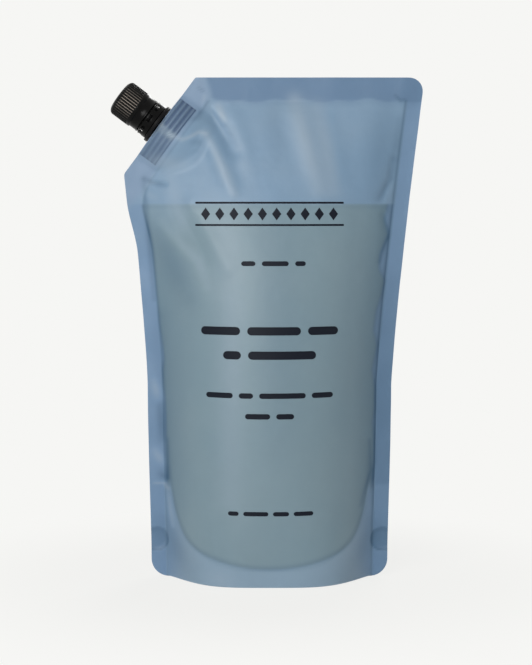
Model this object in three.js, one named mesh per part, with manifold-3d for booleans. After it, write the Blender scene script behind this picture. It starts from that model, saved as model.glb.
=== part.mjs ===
// Stand-up refill pouch with a corner spout, opened to its shape by one litre of liquid soap.
// Millimetres, +Z up, the front faces -Y. The origin is the middle of the foot's flat patch.
import * as THREE from "three";
import { mergeVertices } from "three/addons/utils/BufferGeometryUtils.js";
import Module from "manifold-3d";

const wasm = await Module();
wasm.setup();

// Pouch outline
const packHeight = 286;
const topHalfWidth = 87;
const waistHalfWidth = 70;
const footHalfWidth = 68;
const topLean = 1.3;
const shoulderFlare = 3.2;
const waistHeight = 110;
const topCornerRadius = 9;
const footCornerRadius = 10;
const cutDrop = 54.7;
const cutRun = 40.9;
const cutCornerRadius = 4;
const sideCurve = 1.25;
const flareReach = 28;
const flareOver = 2;

// Film and seals
const filmThickness = 0.25;
const weldGap = 0.1;
const topSeal = 13;
const sideSeal = 8.5;
const spoutSeal = 13.5;

// Filling and the shape that it gives the pouch
const fillHeight = 214;
const footDepth = 35;
const bodySlack = 0.5;
const bodyStart = 60;
const bodySquareness = 2.1;
const footSquareness = 4;
const footHollow = 1.5;
const taperPower = 1.3;
const soapGap = 0.5;
const soapReach = 0.97;

// Soft folds in the film: from and to as [x, distance below the top edge], how wide, and how far
// proud or sunk they stand. They fade out over a share of the half width and a drop under the top seal.
const foldFade = 0.2;
const foldDrop = 14;
const folds = [
  { from: [-55, 35], to: [-38, 29], width: 5, height: 2.2 },
  { from: [-38, 29], to: [-20, 65], width: 6, height: 2.4 },
  { from: [-31, 18], to: [-16, 48], width: 7, height: -1.6 },
  { from: [-58, 102], to: [-38, 130], width: 8, height: 1.1 },
  { from: [17, 20], to: [33, 60], width: 10, height: 1.2 },
  { from: [71, 50], to: [61, 78], width: 6, height: -1.4 },
];

// Bottom gusset
const gussetHeight = 52.6;
const footSeal = 10;
const flatHalfLength = 33;
const flatHalfDepth = 15;
const punchRadius = 7;
const punchHeight = 21.6;
const punchInset = 3;
const gussetGap = 0.3;
const skirtFade = 8;
const skirtEase = 6;
const seamEndGap = 1;
const seamPower = 4;
const floorPower = 2.2;
const largestFlatShare = 0.8;

// Spout fitment
const boatLength = 38.8;
const boatThickness = 13.4;
const boatHeight = 10.6;
const boatTip = 0.9;
const boatSink = 0.6;
const ribCount = 4;
const ribProud = 0.45;
const filmOnBoat = 0.7;
const tentReach = 34;
const tentBlend = 0.4;
const boatEndBlend = 3;
const flangeRadius = 11.75;
const flangeThickness = 2.6;
const neckRadius = 8;
const boreRadius = 6.2;
const beadProud = 1.2;
const beadHeight = 1.5;
const threadLead = 3.2;
const threadProud = 0.9;
const threadTurns = 2.25;
const threadRise = 3.4;
const threadRootShare = 0.26;
const threadCrestShare = 0.09;
const neckChamfer = 0.8;
const edgeBreak = 0.3;

// Screw cap and tamper ring
const capRadius = 10.7;
const capLength = 19.5;
const capTopWall = 1.6;
const capTipRadius = 3;
const waistInset = 0.6;
const skirtLength = 5.3;
const ridgeLength = 1.8;
const knurlCount = 40;
const knurlDepth = 0.4;
const rimProud = 0.3;
const rimHeight = 0.7;
const boreChamfer = 1;
const plugLength = 3;
const plugWall = 1.1;
const plugChamfer = 0.5;
const runningGap = 0.3;
const ringWall = 0.8;
const ringHeight = 5.2;
const ringWindows = 8;
const bridgeWidth = 1;
const bridgeLength = 0.5;
const ringInset = 0.1;
const hookShare = 0.45;
const windowLengthShare = 0.62;
const windowHeightShare = 0.36;
const windowDropShare = 0.32;

// Fineness of the faceted surfaces
const rowStepHigh = 5.4;
const rowStepLow = 13;
const innerColumns = 18;
const sealShare = 0.2;
const floorShares = [1, 0.86, 0.7, 0.44, 0];
const boatPoints = 20;
const neckPoints = 28;
const boreFacets = 32;
const ringFacets = 24;
const threadPointsPerTurn = 18;

const bodyDepth = footDepth - bodySlack;
const sealLine = packHeight - topSeal;
const seamHalfLength = footHalfWidth - sideSeal - seamEndGap;

const filmMaterial = new THREE.MeshStandardMaterial({
  color: 0x8aa3b8,
  roughness: 0.42,
  metalness: 0,
  transparent: true,
  opacity: 0.8,
});
const soapMaterial = new THREE.MeshStandardMaterial({ color: 0x9a8f70, roughness: 0.2, metalness: 0 });
const blackMaterial = new THREE.MeshStandardMaterial({ color: 0x141414, roughness: 0.35, metalness: 0 });
const fitmentMaterial = new THREE.MeshStandardMaterial({ color: 0x1c1d1f, roughness: 0.45, metalness: 0 });

function smoothstep(low, high, value) {
  const t = THREE.MathUtils.clamp((value - low) / (high - low), 0, 1);
  return t * t * (3 - 2 * t);
}

function softMax(a, b, blend) {
  const t = Math.max(blend - Math.abs(a - b), 0) / blend;
  return Math.max(a, b) + (t * t * blend) / 4;
}

// Closed mesh and solid helpers

function geometryOf(vertices, triangles) {
  const geometry = new THREE.BufferGeometry();
  const numbers = vertices.flatMap((vertex) => vertex.toArray());
  geometry.setAttribute("position", new THREE.Float32BufferAttribute(numbers, 3));
  geometry.setIndex(triangles.flat());
  return facingOut(geometry);
}

function facingOut(geometry) {
  const position = geometry.getAttribute("position");
  const index = geometry.getIndex();
  const [a, b, c] = [new THREE.Vector3(), new THREE.Vector3(), new THREE.Vector3()];
  let volume = 0;
  for (let i = 0; i < index.count; i += 3) {
    a.fromBufferAttribute(position, index.getX(i));
    b.fromBufferAttribute(position, index.getX(i + 1));
    c.fromBufferAttribute(position, index.getX(i + 2));
    volume += a.dot(b.cross(c));
  }
  if (volume < 0) {
    for (let i = 0; i < index.count; i += 3) {
      const first = index.getX(i);
      index.setX(i, index.getX(i + 1));
      index.setX(i + 1, first);
    }
  }
  geometry.computeVertexNormals();
  return geometry;
}

// Rings of points joined one to the next, with an end cap on the first and the last.
function loft(rings, capTriangles) {
  const count = rings[0].length;
  const triangles = [];
  for (let r = 0; r + 1 < rings.length; r += 1) {
    for (let k = 0; k < count; k += 1) {
      const next = (k + 1) % count;
      const [a, b] = [r * count + k, r * count + next];
      const [c, d] = [a + count, b + count];
      triangles.push([a, b, d], [a, d, c]);
    }
  }
  const last = (rings.length - 1) * count;
  for (const [a, b, c] of capTriangles) {
    triangles.push([a, c, b], [last + a, last + b, last + c]);
  }
  return geometryOf(rings.flat(), triangles);
}

function fanCap(count) {
  return Array.from({ length: count - 2 }, (_, k) => [0, k + 1, k + 2]);
}

// A sheet with two faces, given as two grids of points, closed round its rim.
function sheet(faceA, faceB) {
  const [rows, columns] = [faceA.length, faceA[0].length];
  const offset = rows * columns;
  const triangles = [];
  for (let i = 0; i + 1 < rows; i += 1) {
    for (let j = 0; j + 1 < columns; j += 1) {
      const [a, b] = [i * columns + j, i * columns + j + 1];
      const [c, d] = [a + columns, b + columns];
      triangles.push([a, b, d], [a, d, c]);
      triangles.push([offset + a, offset + d, offset + b], [offset + a, offset + c, offset + d]);
    }
  }
  const rim = [];
  for (let j = 0; j < columns; j += 1) rim.push(j);
  for (let i = 1; i < rows; i += 1) rim.push(i * columns + columns - 1);
  for (let j = columns - 2; j >= 0; j -= 1) rim.push((rows - 1) * columns + j);
  for (let i = rows - 2; i > 0; i -= 1) rim.push(i * columns);
  rim.forEach((a, k) => {
    const b = rim[(k + 1) % rim.length];
    triangles.push([a, offset + b, b], [a, offset + a, offset + b]);
  });
  return geometryOf([...faceA.flat(), ...faceB.flat()], triangles);
}

function solidOf(geometry) {
  const bare = new THREE.BufferGeometry();
  bare.setAttribute("position", geometry.getAttribute("position").clone());
  if (geometry.getIndex()) bare.setIndex(geometry.getIndex().clone());
  const merged = facingOut(mergeVertices(bare, 1e-4));
  return new wasm.Manifold(
    new wasm.Mesh({
      numProp: 3,
      vertProperties: new Float32Array(merged.getAttribute("position").array),
      triVerts: new Uint32Array(merged.getIndex().array),
    }),
  );
}

function geometryFrom(solid) {
  const mesh = solid.getMesh();
  const geometry = new THREE.BufferGeometry();
  geometry.setAttribute("position", new THREE.Float32BufferAttribute(mesh.vertProperties, 3));
  geometry.setIndex([...mesh.triVerts]);
  geometry.computeVertexNormals();
  return geometry;
}

// A turned piece about +Z from a profile of [radius, z] pairs.
function turned(profile, segments) {
  const points = profile.map(([radius, z]) => new THREE.Vector2(radius, z));
  return new THREE.LatheGeometry(points, segments).rotateX(Math.PI / 2);
}

function nodeMesh(name, geometry, material) {
  const mesh = new THREE.Mesh(geometry, material);
  mesh.name = name;
  return mesh;
}

// Pouch outline: the two side edges, the cut corner and the rounded corners

function sideEdge(side, z) {
  const foot = THREE.MathUtils.lerp(footHalfWidth, waistHalfWidth, smoothstep(0, waistHeight, z));
  const rise = Math.max(z - waistHeight, 0) / (packHeight - waistHeight);
  const half = foot + (topHalfWidth - waistHalfWidth) * Math.pow(rise, sideCurve);
  const flare = side < 0 ? shoulderFlare * smoothstep(fillHeight - flareReach, fillHeight + flareOver, z) : 0;
  return side * (half + flare) + topLean * rise;
}

const cutLow = new THREE.Vector2(sideEdge(-1, packHeight - cutDrop), packHeight - cutDrop);
const cutHigh = new THREE.Vector2(cutLow.x + cutRun, packHeight);
const cutAlong = cutHigh.clone().sub(cutLow).normalize();
const cutInward = new THREE.Vector2(cutAlong.y, -cutAlong.x);
const cutMiddle = cutLow.clone().lerp(cutHigh, 0.5);

function roundedPull(radius, reach) {
  const inside = THREE.MathUtils.clamp(reach, 0, radius);
  return radius - Math.sqrt(radius * radius - inside * inside);
}

function outerEdge(side, z) {
  const pull = roundedPull(topCornerRadius, z - (packHeight - topCornerRadius))
    + roundedPull(footCornerRadius, footCornerRadius - z);
  if (side > 0) return sideEdge(1, z) - pull;
  const cut = cutLow.x + ((z - cutLow.y) * cutRun) / cutDrop;
  const edge = softMax(sideEdge(-1, z), cut, cutCornerRadius);
  return edge + roundedPull(cutCornerRadius, z - (packHeight - cutCornerRadius)) / 2
    + roundedPull(footCornerRadius, footCornerRadius - z);
}

function sealEdge(side, z) {
  const straight = sideEdge(side, z) - side * sideSeal;
  if (side > 0) return Math.min(straight, outerEdge(1, z) - 1);
  const cut = cutLow.x + ((z - cutLow.y) * cutRun) / cutDrop + spoutSeal / cutInward.x;
  return Math.max(softMax(straight, cut, sideSeal), outerEdge(-1, z) + 1);
}

// How far the film's inner face stands from the middle plane

function foldHeight(fold, x, z) {
  const from = new THREE.Vector2(fold.from[0], packHeight - fold.from[1]);
  const along = new THREE.Vector2(fold.to[0], packHeight - fold.to[1]).sub(from);
  const offset = new THREE.Vector2(x, z).sub(from);
  const t = THREE.MathUtils.clamp(offset.dot(along) / along.lengthSq(), 0, 1);
  const away = offset.sub(along.clone().multiplyScalar(t)).length() / fold.width;
  return fold.height * Math.exp(-away * away) * (0.35 + 0.65 * Math.sin(Math.PI * (0.15 + 0.7 * t)));
}

function boatHalf(along) {
  const t = Math.min(Math.abs(along) / (boatLength / 2), 1);
  return boatTip / 2 + ((boatThickness - boatTip) / 2) * (1 - t * t);
}

function fullness(z) {
  const t = THREE.MathUtils.clamp((z - bodyStart) / (sealLine - bodyStart), 0, 1);
  const depth = THREE.MathUtils.lerp(footDepth, bodyDepth, smoothstep(0, bodyStart, z));
  return depth * Math.cos((Math.PI / 2) * Math.pow(t, taperPower));
}

function innerDepth(x, z) {
  const [left, right] = [sealEdge(-1, z), sealEdge(1, z)];
  const across = Math.min(Math.abs(x - (left + right) / 2) / ((right - left) / 2), 1);
  const upper = smoothstep(0, bodyStart, z);
  const squareness = THREE.MathUtils.lerp(footSquareness, bodySquareness, upper);
  const lens = Math.pow(1 - Math.pow(across, squareness), THREE.MathUtils.lerp(footHollow, 1, upper));
  const slack = Math.min((1 - across) / foldFade, 1) * smoothstep(sealLine, sealLine - foldDrop, z);
  const creases = folds.reduce((sum, fold) => sum + foldHeight(fold, x, z), 0) * slack;
  const bulge = Math.max(fullness(z) * lens + creases, 0);

  const fromMiddle = new THREE.Vector2(x, z).sub(cutMiddle);
  const inward = fromMiddle.dot(cutInward);
  const along = fromMiddle.dot(cutAlong);
  const fade = smoothstep(tentReach, spoutSeal, inward);
  const beyond = Math.abs(along) - boatLength / 2;
  const boat = beyond < boatEndBlend / 2 ? boatHalf(along) + filmOnBoat + ribProud : 0;
  const ends = smoothstep(boatEndBlend, 0, beyond);
  return softMax(bulge, boat * fade * ends, tentBlend) + gussetLayers(z) + weldGap / 2;
}

// In the foot the two layers of the gusset lie between the panels.
function gussetLayers(z) {
  return (gussetGap * 2 + filmThickness) * smoothstep(gussetHeight + skirtFade, gussetHeight, z);
}

// Rows and columns of the film's grid, shared by every piece that follows the film

function levels(marks, step) {
  const sorted = [...new Set(marks)].sort((a, b) => a - b);
  const rows = [sorted[0]];
  for (let k = 1; k < sorted.length; k += 1) {
    const steps = Math.max(Math.round((sorted[k] - sorted[k - 1]) / step(sorted[k])), 1);
    for (let s = 1; s <= steps; s += 1) rows.push(THREE.MathUtils.lerp(sorted[k - 1], sorted[k], s / steps));
  }
  return rows;
}

function filmRows() {
  const corner = (radius, angle) => radius * (1 - Math.cos(THREE.MathUtils.degToRad(angle)));
  const marks = [0, gussetHeight, waistHeight, fillHeight, cutLow.y, sealLine, packHeight];
  for (const angle of [25, 50, 90]) {
    marks.push(corner(footCornerRadius, angle), packHeight - corner(topCornerRadius, angle));
  }
  return levels(marks, (z) => (z > fillHeight ? rowStepHigh : rowStepLow));
}

function columnStations() {
  const stations = [-1 - sealShare, -1 - sealShare / 2];
  for (let k = 0; k <= innerColumns; k += 1) {
    const u = (2 * k) / innerColumns - 1;
    stations.push(0.6 * u + 0.4 * Math.sin((Math.PI / 2) * u));
  }
  return [...stations, 1 + sealShare];
}

// The x of a column at a height: -1 to 1 runs between the seals, and the seal's share beyond crosses a seal.
function columnX(station, z) {
  const [left, right] = [sealEdge(-1, z), sealEdge(1, z)];
  if (station < -1) return THREE.MathUtils.lerp(left, outerEdge(-1, z), (-1 - station) / sealShare);
  if (station > 1) return THREE.MathUtils.lerp(right, outerEdge(1, z), (station - 1) / sealShare);
  return THREE.MathUtils.lerp(left, right, (station + 1) / 2);
}

function filmPanel(side) {
  const steepest = 2;
  const inner = [];
  const outer = [];
  for (const z of filmRows()) {
    const innerRow = [];
    const outerRow = [];
    for (const station of columnStations()) {
      const x = columnX(station, z);
      const depth = innerDepth(x, z);
      const slopeX = innerDepth(x + 1, z) - innerDepth(x - 1, z);
      const slopeZ = innerDepth(x, Math.min(z + 1, packHeight)) - innerDepth(x, Math.max(z - 1, 0));
      const steep = Math.min(Math.hypot(1, slopeX / 2, slopeZ / 2), steepest);
      innerRow.push(new THREE.Vector3(x, side * depth, z));
      outerRow.push(new THREE.Vector3(x, side * (depth + filmThickness * steep), z));
    }
    inner.push(innerRow);
    outer.push(outerRow);
  }
  return sheet(inner, outer);
}

// Bottom gusset: the welded skirt, then the floor that the filling presses flat

function seamHeight(x) {
  const reach = Math.min(Math.abs(x) / seamHalfLength, 1);
  return footSeal + (gussetHeight - footSeal) * Math.pow(reach, seamPower);
}

function ridgeHeight(x) {
  return (gussetHeight - filmThickness) * smoothstep(flatHalfLength, seamHalfLength, Math.abs(x));
}

// The floor's top side at a distance from the middle plane.
function floorTop(x, distance, seamDistance) {
  const flat = Math.min(flatHalfDepth / footDepth, largestFlatShare) * seamDistance;
  const t = THREE.MathUtils.clamp((distance - flat) / (seamDistance - flat), 0, 1);
  const climb = Math.pow(t, floorPower);
  return filmThickness + THREE.MathUtils.lerp(ridgeHeight(x), seamHeight(x) - filmThickness, climb);
}

// The skirt lies just inside the panel, a little freer where the panel is rounded.
function skirtDistance(x, z) {
  const depth = innerDepth(x, z);
  return depth - gussetGap * (1 + Math.min((depth - gussetLayers(z)) / skirtEase, 1));
}

function seamAt(station) {
  let z = footSeal;
  for (let pass = 0; pass < 12; pass += 1) z = seamHeight(columnX(station, z));
  const x = columnX(station, z);
  return { x, z, distance: skirtDistance(x, z) };
}

function floorProfile(station, lift) {
  const seam = seamAt(station);
  return floorShares.map((share) => {
    const distance = share * seam.distance;
    return new THREE.Vector3(seam.x, -distance, floorTop(seam.x, distance, seam.distance) + lift);
  });
}

function gussetProfile(station) {
  const seam = seamAt(station);
  const top = [];
  const cornerRows = filmRows().filter((z) => z < footSeal / 2);
  const steps = [1, 2].map((k) => THREE.MathUtils.lerp(cornerRows.at(-1), seam.z, k / 3));
  for (const z of [...cornerRows, ...steps]) {
    const x = columnX(station, z);
    top.push(new THREE.Vector3(x, -skirtDistance(x, z), z));
  }
  return [...top, ...floorProfile(station, 0)];
}

// The underside, one film thickness inside the profile, in the plane across the pouch.
function underside(profile) {
  const sharpestCosine = 0.35;
  const longestMiter = 2.2;
  const foldTaper = 0.93;
  const under = profile.map((point, k) => {
    if (k === profile.length - 1) return point.clone().setZ(point.z - filmThickness);
    const before = profile[Math.max(k - 1, 0)];
    const after = profile[k + 1];
    const normals = [[before, point], [point, after]]
      .filter(([a, b]) => a !== b)
      .map(([a, b]) => new THREE.Vector2(b.z - a.z, a.y - b.y).normalize());
    const mean = normals.reduce((sum, n) => sum.clone().add(n)).normalize();
    const miter = Math.min(1 / Math.max(mean.dot(normals[0]), sharpestCosine), longestMiter);
    const push = mean.multiplyScalar(filmThickness * miter);
    return new THREE.Vector3(point.x, point.y + push.x, Math.max(point.z + push.y, 0));
  });
  // Where the fold is tight, each point still lies nearer the middle plane than the one before.
  const seam = profile.length - floorShares.length;
  for (let k = seam + 1; k < under.length; k += 1) {
    under[k].y = Math.max(under[k].y, under[k - 1].y * foldTaper);
  }
  return under;
}

function mirrored(profile) {
  const back = profile.slice(0, -1).reverse().map((p) => new THREE.Vector3(p.x, -p.y, p.z));
  return [...profile, ...back];
}

function bottomGusset() {
  const edgeStation = 1 + sealShare - 0.008;
  const stations = columnStations().map((s) => THREE.MathUtils.clamp(s, -edgeStation, edgeStation));
  const profiles = stations.map((station) => gussetProfile(station));
  const blank = solidOf(sheet(
    profiles.map((profile) => mirrored(profile)),
    profiles.map((profile) => mirrored(underside(profile))),
  ));
  const punch = new THREE.CylinderGeometry(punchRadius, punchRadius, 4 * punchRadius, ringFacets);
  return geometryFrom([-1, 1].reduce((solid, side) => {
    const centre = side * (footHalfWidth - punchInset);
    return solid.subtract(solidOf(punch.clone().translate(centre, 0, punchHeight)));
  }, blank));
}

// Soap: fills the film from the floor to a level top

function soapFill() {
  const inside = columnStations().filter((station) => Math.abs(station) < soapReach);
  const rows = filmRows().filter((z) => z <= fillHeight);
  const face = (side) => rows.map((z) => inside.map((station) => {
    const x = columnX(station, z);
    return new THREE.Vector3(x, side * Math.max(innerDepth(x, z) - soapGap, soapGap), z);
  }));
  const floor = columnStations().map((station) => {
    const profile = floorProfile(station, soapGap);
    const outside = profile[0].clone().setY(-2 * footDepth);
    return mirrored([outside, ...profile]);
  });
  const below = floor.map((profile) => profile.map((point) => point.clone().setZ(-footSeal)));
  return geometryFrom(solidOf(sheet(face(-1), face(1))).subtract(solidOf(sheet(floor, below))));
}

// Spout, ring and cap share a frame: +Z out along the spout, +X along the cut edge, 0 at the film's edge

const beadStart = flangeThickness + ringHeight * hookShare;
const capStart = flangeThickness + ringHeight + 2 * runningGap + bridgeLength;
const capTop = capStart + capLength;
const neckTop = capTop - capTopWall - runningGap;
const capBore = neckRadius + threadProud + runningGap;

function boat() {
  const ribStep = 0.02;
  const pitch = boatHeight / (2 * ribCount - 1);
  const rings = [];
  for (let layer = 0; layer < 2 * ribCount - 1; layer += 1) {
    const proud = layer % 2 === 0 ? ribProud : 0;
    const low = -boatSink - boatHeight + layer * pitch;
    for (const z of [low, low + pitch - ribStep]) {
      const ring = [];
      for (let k = 0; k < boatPoints; k += 1) {
        const angle = (2 * Math.PI * k) / boatPoints;
        const along = Math.cos(angle) * (boatLength / 2 + proud - ribProud);
        const half = boatHalf(Math.cos(angle) * (boatLength / 2)) + proud;
        ring.push(new THREE.Vector3(along, Math.sign(Math.sin(angle).toFixed(6)) * half, z));
      }
      rings.push(ring);
    }
  }
  return solidOf(loft(rings, fanCap(boatPoints)));
}

function neckBody() {
  const root = (boatThickness - boatTip) / 2;
  const profile = [
    [0, -boatSink - boatHeight / 2],
    [root, -boatSink - boatHeight / 2],
    [root + edgeBreak, -boatSink],
    [root + edgeBreak, filmOnBoat],
    [flangeRadius - edgeBreak, filmOnBoat],
    [flangeRadius, filmOnBoat + edgeBreak],
    [flangeRadius, flangeThickness - edgeBreak],
    [flangeRadius - edgeBreak, flangeThickness],
    [neckRadius, flangeThickness],
    [neckRadius, beadStart],
    [neckRadius + beadProud, beadStart],
    [neckRadius + beadProud, beadStart + beadHeight / 3],
    [neckRadius, beadStart + beadHeight],
    [neckRadius, neckTop - neckChamfer],
    [neckRadius - neckChamfer, neckTop],
    [0, neckTop],
  ];
  return solidOf(turned(profile, neckPoints));
}

// One ridge wound up the neck, faded to nothing at both ends.
function neckThread(start) {
  const steps = Math.round(threadTurns * threadPointsPerTurn);
  const fadeSteps = 3;
  const rootHalf = threadLead * threadRootShare;
  const crestHalf = threadLead * threadCrestShare;
  const sunk = neckRadius - threadProud * 2 / 3;
  const rings = [];
  for (let k = 0; k <= steps; k += 1) {
    const angle = (2 * Math.PI * k) / threadPointsPerTurn;
    const z = start + (threadLead * k) / threadPointsPerTurn;
    const proud = threadProud * smoothstep(0, fadeSteps, Math.min(k, steps - k) + fadeSteps / 10);
    const crest = neckRadius + proud;
    const section = [[sunk, -rootHalf], [crest, -crestHalf], [crest, crestHalf], [sunk, rootHalf]];
    const [across, along] = [Math.cos(angle), Math.sin(angle)];
    rings.push(section.map(([r, rise]) => new THREE.Vector3(r * across, r * along, z + rise)));
  }
  return solidOf(loft(rings, fanCap(4)));
}

function spoutFitment() {
  const bore = new THREE.CylinderGeometry(boreRadius, boreRadius, 4 * (neckTop + boatHeight), neckPoints);
  const threadStart = flangeThickness + ringHeight + threadRise;
  return geometryFrom(
    boat()
      .add(neckBody())
      .add(neckThread(threadStart))
      .subtract(solidOf(bore.rotateX(Math.PI / 2))),
  );
}

// Screw cap: knurled grip and smooth skirt outside, clearance bore and plug inside

function capShell() {
  const ridgeStart = capStart + skirtLength;
  const knurlStart = ridgeStart + ridgeLength;
  const waist = capRadius - waistInset;
  const levelsUp = [
    [capStart, waist + rimProud, 0],
    [capStart + rimHeight, waist, 0],
    [ridgeStart - edgeBreak, waist, 0],
    [ridgeStart, capRadius, 0],
    [knurlStart, capRadius, 0],
    [knurlStart + edgeBreak, capRadius - knurlDepth, 1],
  ];
  for (const degrees of [0, 30, 60]) {
    const angle = THREE.MathUtils.degToRad(degrees);
    const radius = capRadius - knurlDepth - capTipRadius * (1 - Math.cos(angle));
    levelsUp.push([capTop - capTipRadius * (1 - Math.sin(angle)), radius, 1 - degrees / 90]);
  }
  levelsUp.push([capTop, capRadius - knurlDepth - capTipRadius, 0]);
  const rings = levelsUp.map(([z, radius, knurled]) => {
    const ring = [];
    for (let k = 0; k < 2 * knurlCount; k += 1) {
      const angle = (Math.PI * k) / knurlCount;
      const r = radius + (k % 2) * knurlDepth * knurled;
      ring.push(new THREE.Vector3(r * Math.cos(angle), r * Math.sin(angle), z));
    }
    return ring;
  });
  return solidOf(loft(rings, fanCap(2 * knurlCount)));
}

function screwCap() {
  const roof = capTop - capTopWall;
  const plug = boreRadius - runningGap;
  const hollow = [
    [0, capStart - runningGap],
    [capBore, capStart - runningGap],
    [capBore, roof - boreChamfer],
    [capBore - boreChamfer, roof],
    [plug, roof],
    [plug, roof - plugLength + plugChamfer],
    [plug - plugChamfer, roof - plugLength],
    [plug - plugWall, roof - plugLength],
    [plug - plugWall, roof],
    [0, roof],
  ];
  return geometryFrom(capShell().subtract(solidOf(turned(hollow, boreFacets))));
}

// Tamper ring: windowed band that sits on the flange, hooked under the neck's bead

function tamperRing() {
  const low = flangeThickness + runningGap;
  const high = low + ringHeight;
  const outer = capRadius - ringInset;
  const bandInner = outer - ringWall;
  const hook = neckRadius + runningGap;
  const hookTop = beadStart - runningGap;
  const profile = [
    [hook, low],
    [outer - edgeBreak, low],
    [outer, low + edgeBreak],
    [outer, high - edgeBreak],
    [outer - edgeBreak, high],
    [bandInner, high],
    [bandInner, hookTop],
    [hook, hookTop],
    [hook, low],
  ];
  let ring = solidOf(turned(profile, ringFacets));
  const windowLength = (2 * Math.PI * outer * windowLengthShare) / ringWindows;
  const window = new THREE.BoxGeometry(ringWall * 3, windowLength, ringHeight * windowHeightShare);
  const bridge = new THREE.BoxGeometry(ringWall - ringInset * 2, bridgeWidth, 2 * bridgeLength);
  for (let k = 0; k < ringWindows; k += 1) {
    const turn = (2 * Math.PI * k) / ringWindows;
    const cut = window.clone().translate(outer, 0, high - ringHeight * windowDropShare).rotateZ(turn);
    const lug = bridge.clone().translate(outer - ringWall / 2 - ringInset, 0, high);
    lug.rotateZ(turn + Math.PI / ringWindows);
    ring = ring.subtract(solidOf(cut)).add(solidOf(lug));
  }
  return geometryFrom(ring);
}

// Assembly

const pouch = new THREE.Group();
pouch.add(nodeMesh("front_panel", filmPanel(-1), filmMaterial));
pouch.add(nodeMesh("back_panel", filmPanel(1), filmMaterial));
pouch.add(nodeMesh("bottom_gusset", bottomGusset(), filmMaterial));
pouch.add(nodeMesh("soap_fill", soapFill(), soapMaterial));

// The spout stands square on the cut edge, at its middle.
const spout = new THREE.Group();
spout.position.set(cutMiddle.x, 0, cutMiddle.y);
spout.setRotationFromMatrix(new THREE.Matrix4().makeBasis(
  new THREE.Vector3(cutAlong.x, 0, cutAlong.y),
  new THREE.Vector3(0, 1, 0),
  new THREE.Vector3(-cutInward.x, 0, -cutInward.y),
));
spout.add(nodeMesh("spout_fitment", spoutFitment(), fitmentMaterial));
spout.add(nodeMesh("screw_cap", screwCap(), blackMaterial));
spout.add(nodeMesh("tamper_ring", tamperRing(), blackMaterial));

const refillPack = new THREE.Group();
refillPack.add(pouch, spout);

export default refillPack;
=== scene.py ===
"""Looks of a stand-up soap refill pouch with a corner spout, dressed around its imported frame.

The frame's own coordinates hold throughout: +Z up, the printed face looks along -Y and the spout is on
the -X side. Sizes in the classes are millimetres, and meshes are written in metres.
"""

from __future__ import annotations

import logging
import math
from contextlib import contextmanager
from dataclasses import dataclass, field
from enum import Enum
from typing import Any, Iterator

import bmesh
import bpy
import numpy as np
from mathutils import Matrix, Vector

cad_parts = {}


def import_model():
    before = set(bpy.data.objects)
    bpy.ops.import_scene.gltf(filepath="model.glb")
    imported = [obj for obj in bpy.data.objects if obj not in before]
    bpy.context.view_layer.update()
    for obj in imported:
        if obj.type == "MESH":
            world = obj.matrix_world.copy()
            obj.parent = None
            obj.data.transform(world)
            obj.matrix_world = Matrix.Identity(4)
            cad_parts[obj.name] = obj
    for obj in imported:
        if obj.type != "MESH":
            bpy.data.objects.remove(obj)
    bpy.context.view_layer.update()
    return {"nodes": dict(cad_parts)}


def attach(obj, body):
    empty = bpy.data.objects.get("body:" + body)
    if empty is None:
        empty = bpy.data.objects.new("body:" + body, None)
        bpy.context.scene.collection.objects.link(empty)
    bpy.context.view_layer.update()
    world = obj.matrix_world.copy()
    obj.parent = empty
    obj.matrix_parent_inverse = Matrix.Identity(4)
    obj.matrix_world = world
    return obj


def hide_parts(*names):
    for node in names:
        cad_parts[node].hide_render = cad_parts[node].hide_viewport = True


LOG = logging.getLogger("refill_pack")
MM = 0.001
TURN = 2.0 * math.pi

Array = np.ndarray
Solid = bpy.types.Object
Material = bpy.types.Material
Socket = bpy.types.NodeSocket
Pair = tuple[float, float]
Triple = tuple[float, float, float]
Rgb = Triple


class Side(Enum):
    """The two faces of the pouch, by the sign of their Y."""

    FRONT = -1
    BACK = 1


class Body(Enum):
    """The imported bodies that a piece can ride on."""

    POUCH = "pouch"
    RING = "ring"
    CAP = "cap"


class Slot(Enum):
    """The record's material slots that the pieces take."""

    FILM = "film"
    FITMENT = "fitment"
    CAP = "cap"


def linear(colour: Rgb) -> tuple[float, ...]:
    """The linear red, green, blue and alpha that a shader takes for a display colour of 0 to 255."""
    shares = [value / 255.0 for value in colour]
    return (*(share / 12.92 if share <= 0.04045 else ((share + 0.055) / 1.055) ** 2.4 for share in shares), 1)


def lerp(low: Any, high: Any, share: Any) -> Any:
    """The value that lies a share of the way from low to high."""
    return low + (high - low) * share


def smoothstep(low: float, high: float, value: Array) -> Array:
    """A smooth step from 0 at low to 1 at high; low may be the larger one."""
    share = np.clip((value - low) / (high - low), 0.0, 1.0)
    return share * share * (3.0 - 2.0 * share)


def soft_max(first: Array, second: Array, blend: float | Array) -> Array:
    """The larger of two values, rounded over where they are within blend of each other."""
    share = np.maximum(blend - np.abs(first - second), 0.0) / blend
    return np.maximum(first, second) + share * share * blend / 4.0


def bell(away: Array, width: float) -> Array:
    """A soft bump: 1 at 0, falling to 0.37 at one width away."""
    return np.exp(-((away / width) ** 2))


def ripple(value: Array, *waves: Triple) -> Array:
    """A sum of waves, each given by its height, its length and where it starts."""
    return sum(height * np.sin(value / length + start) for height, length, start in waves)


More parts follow.
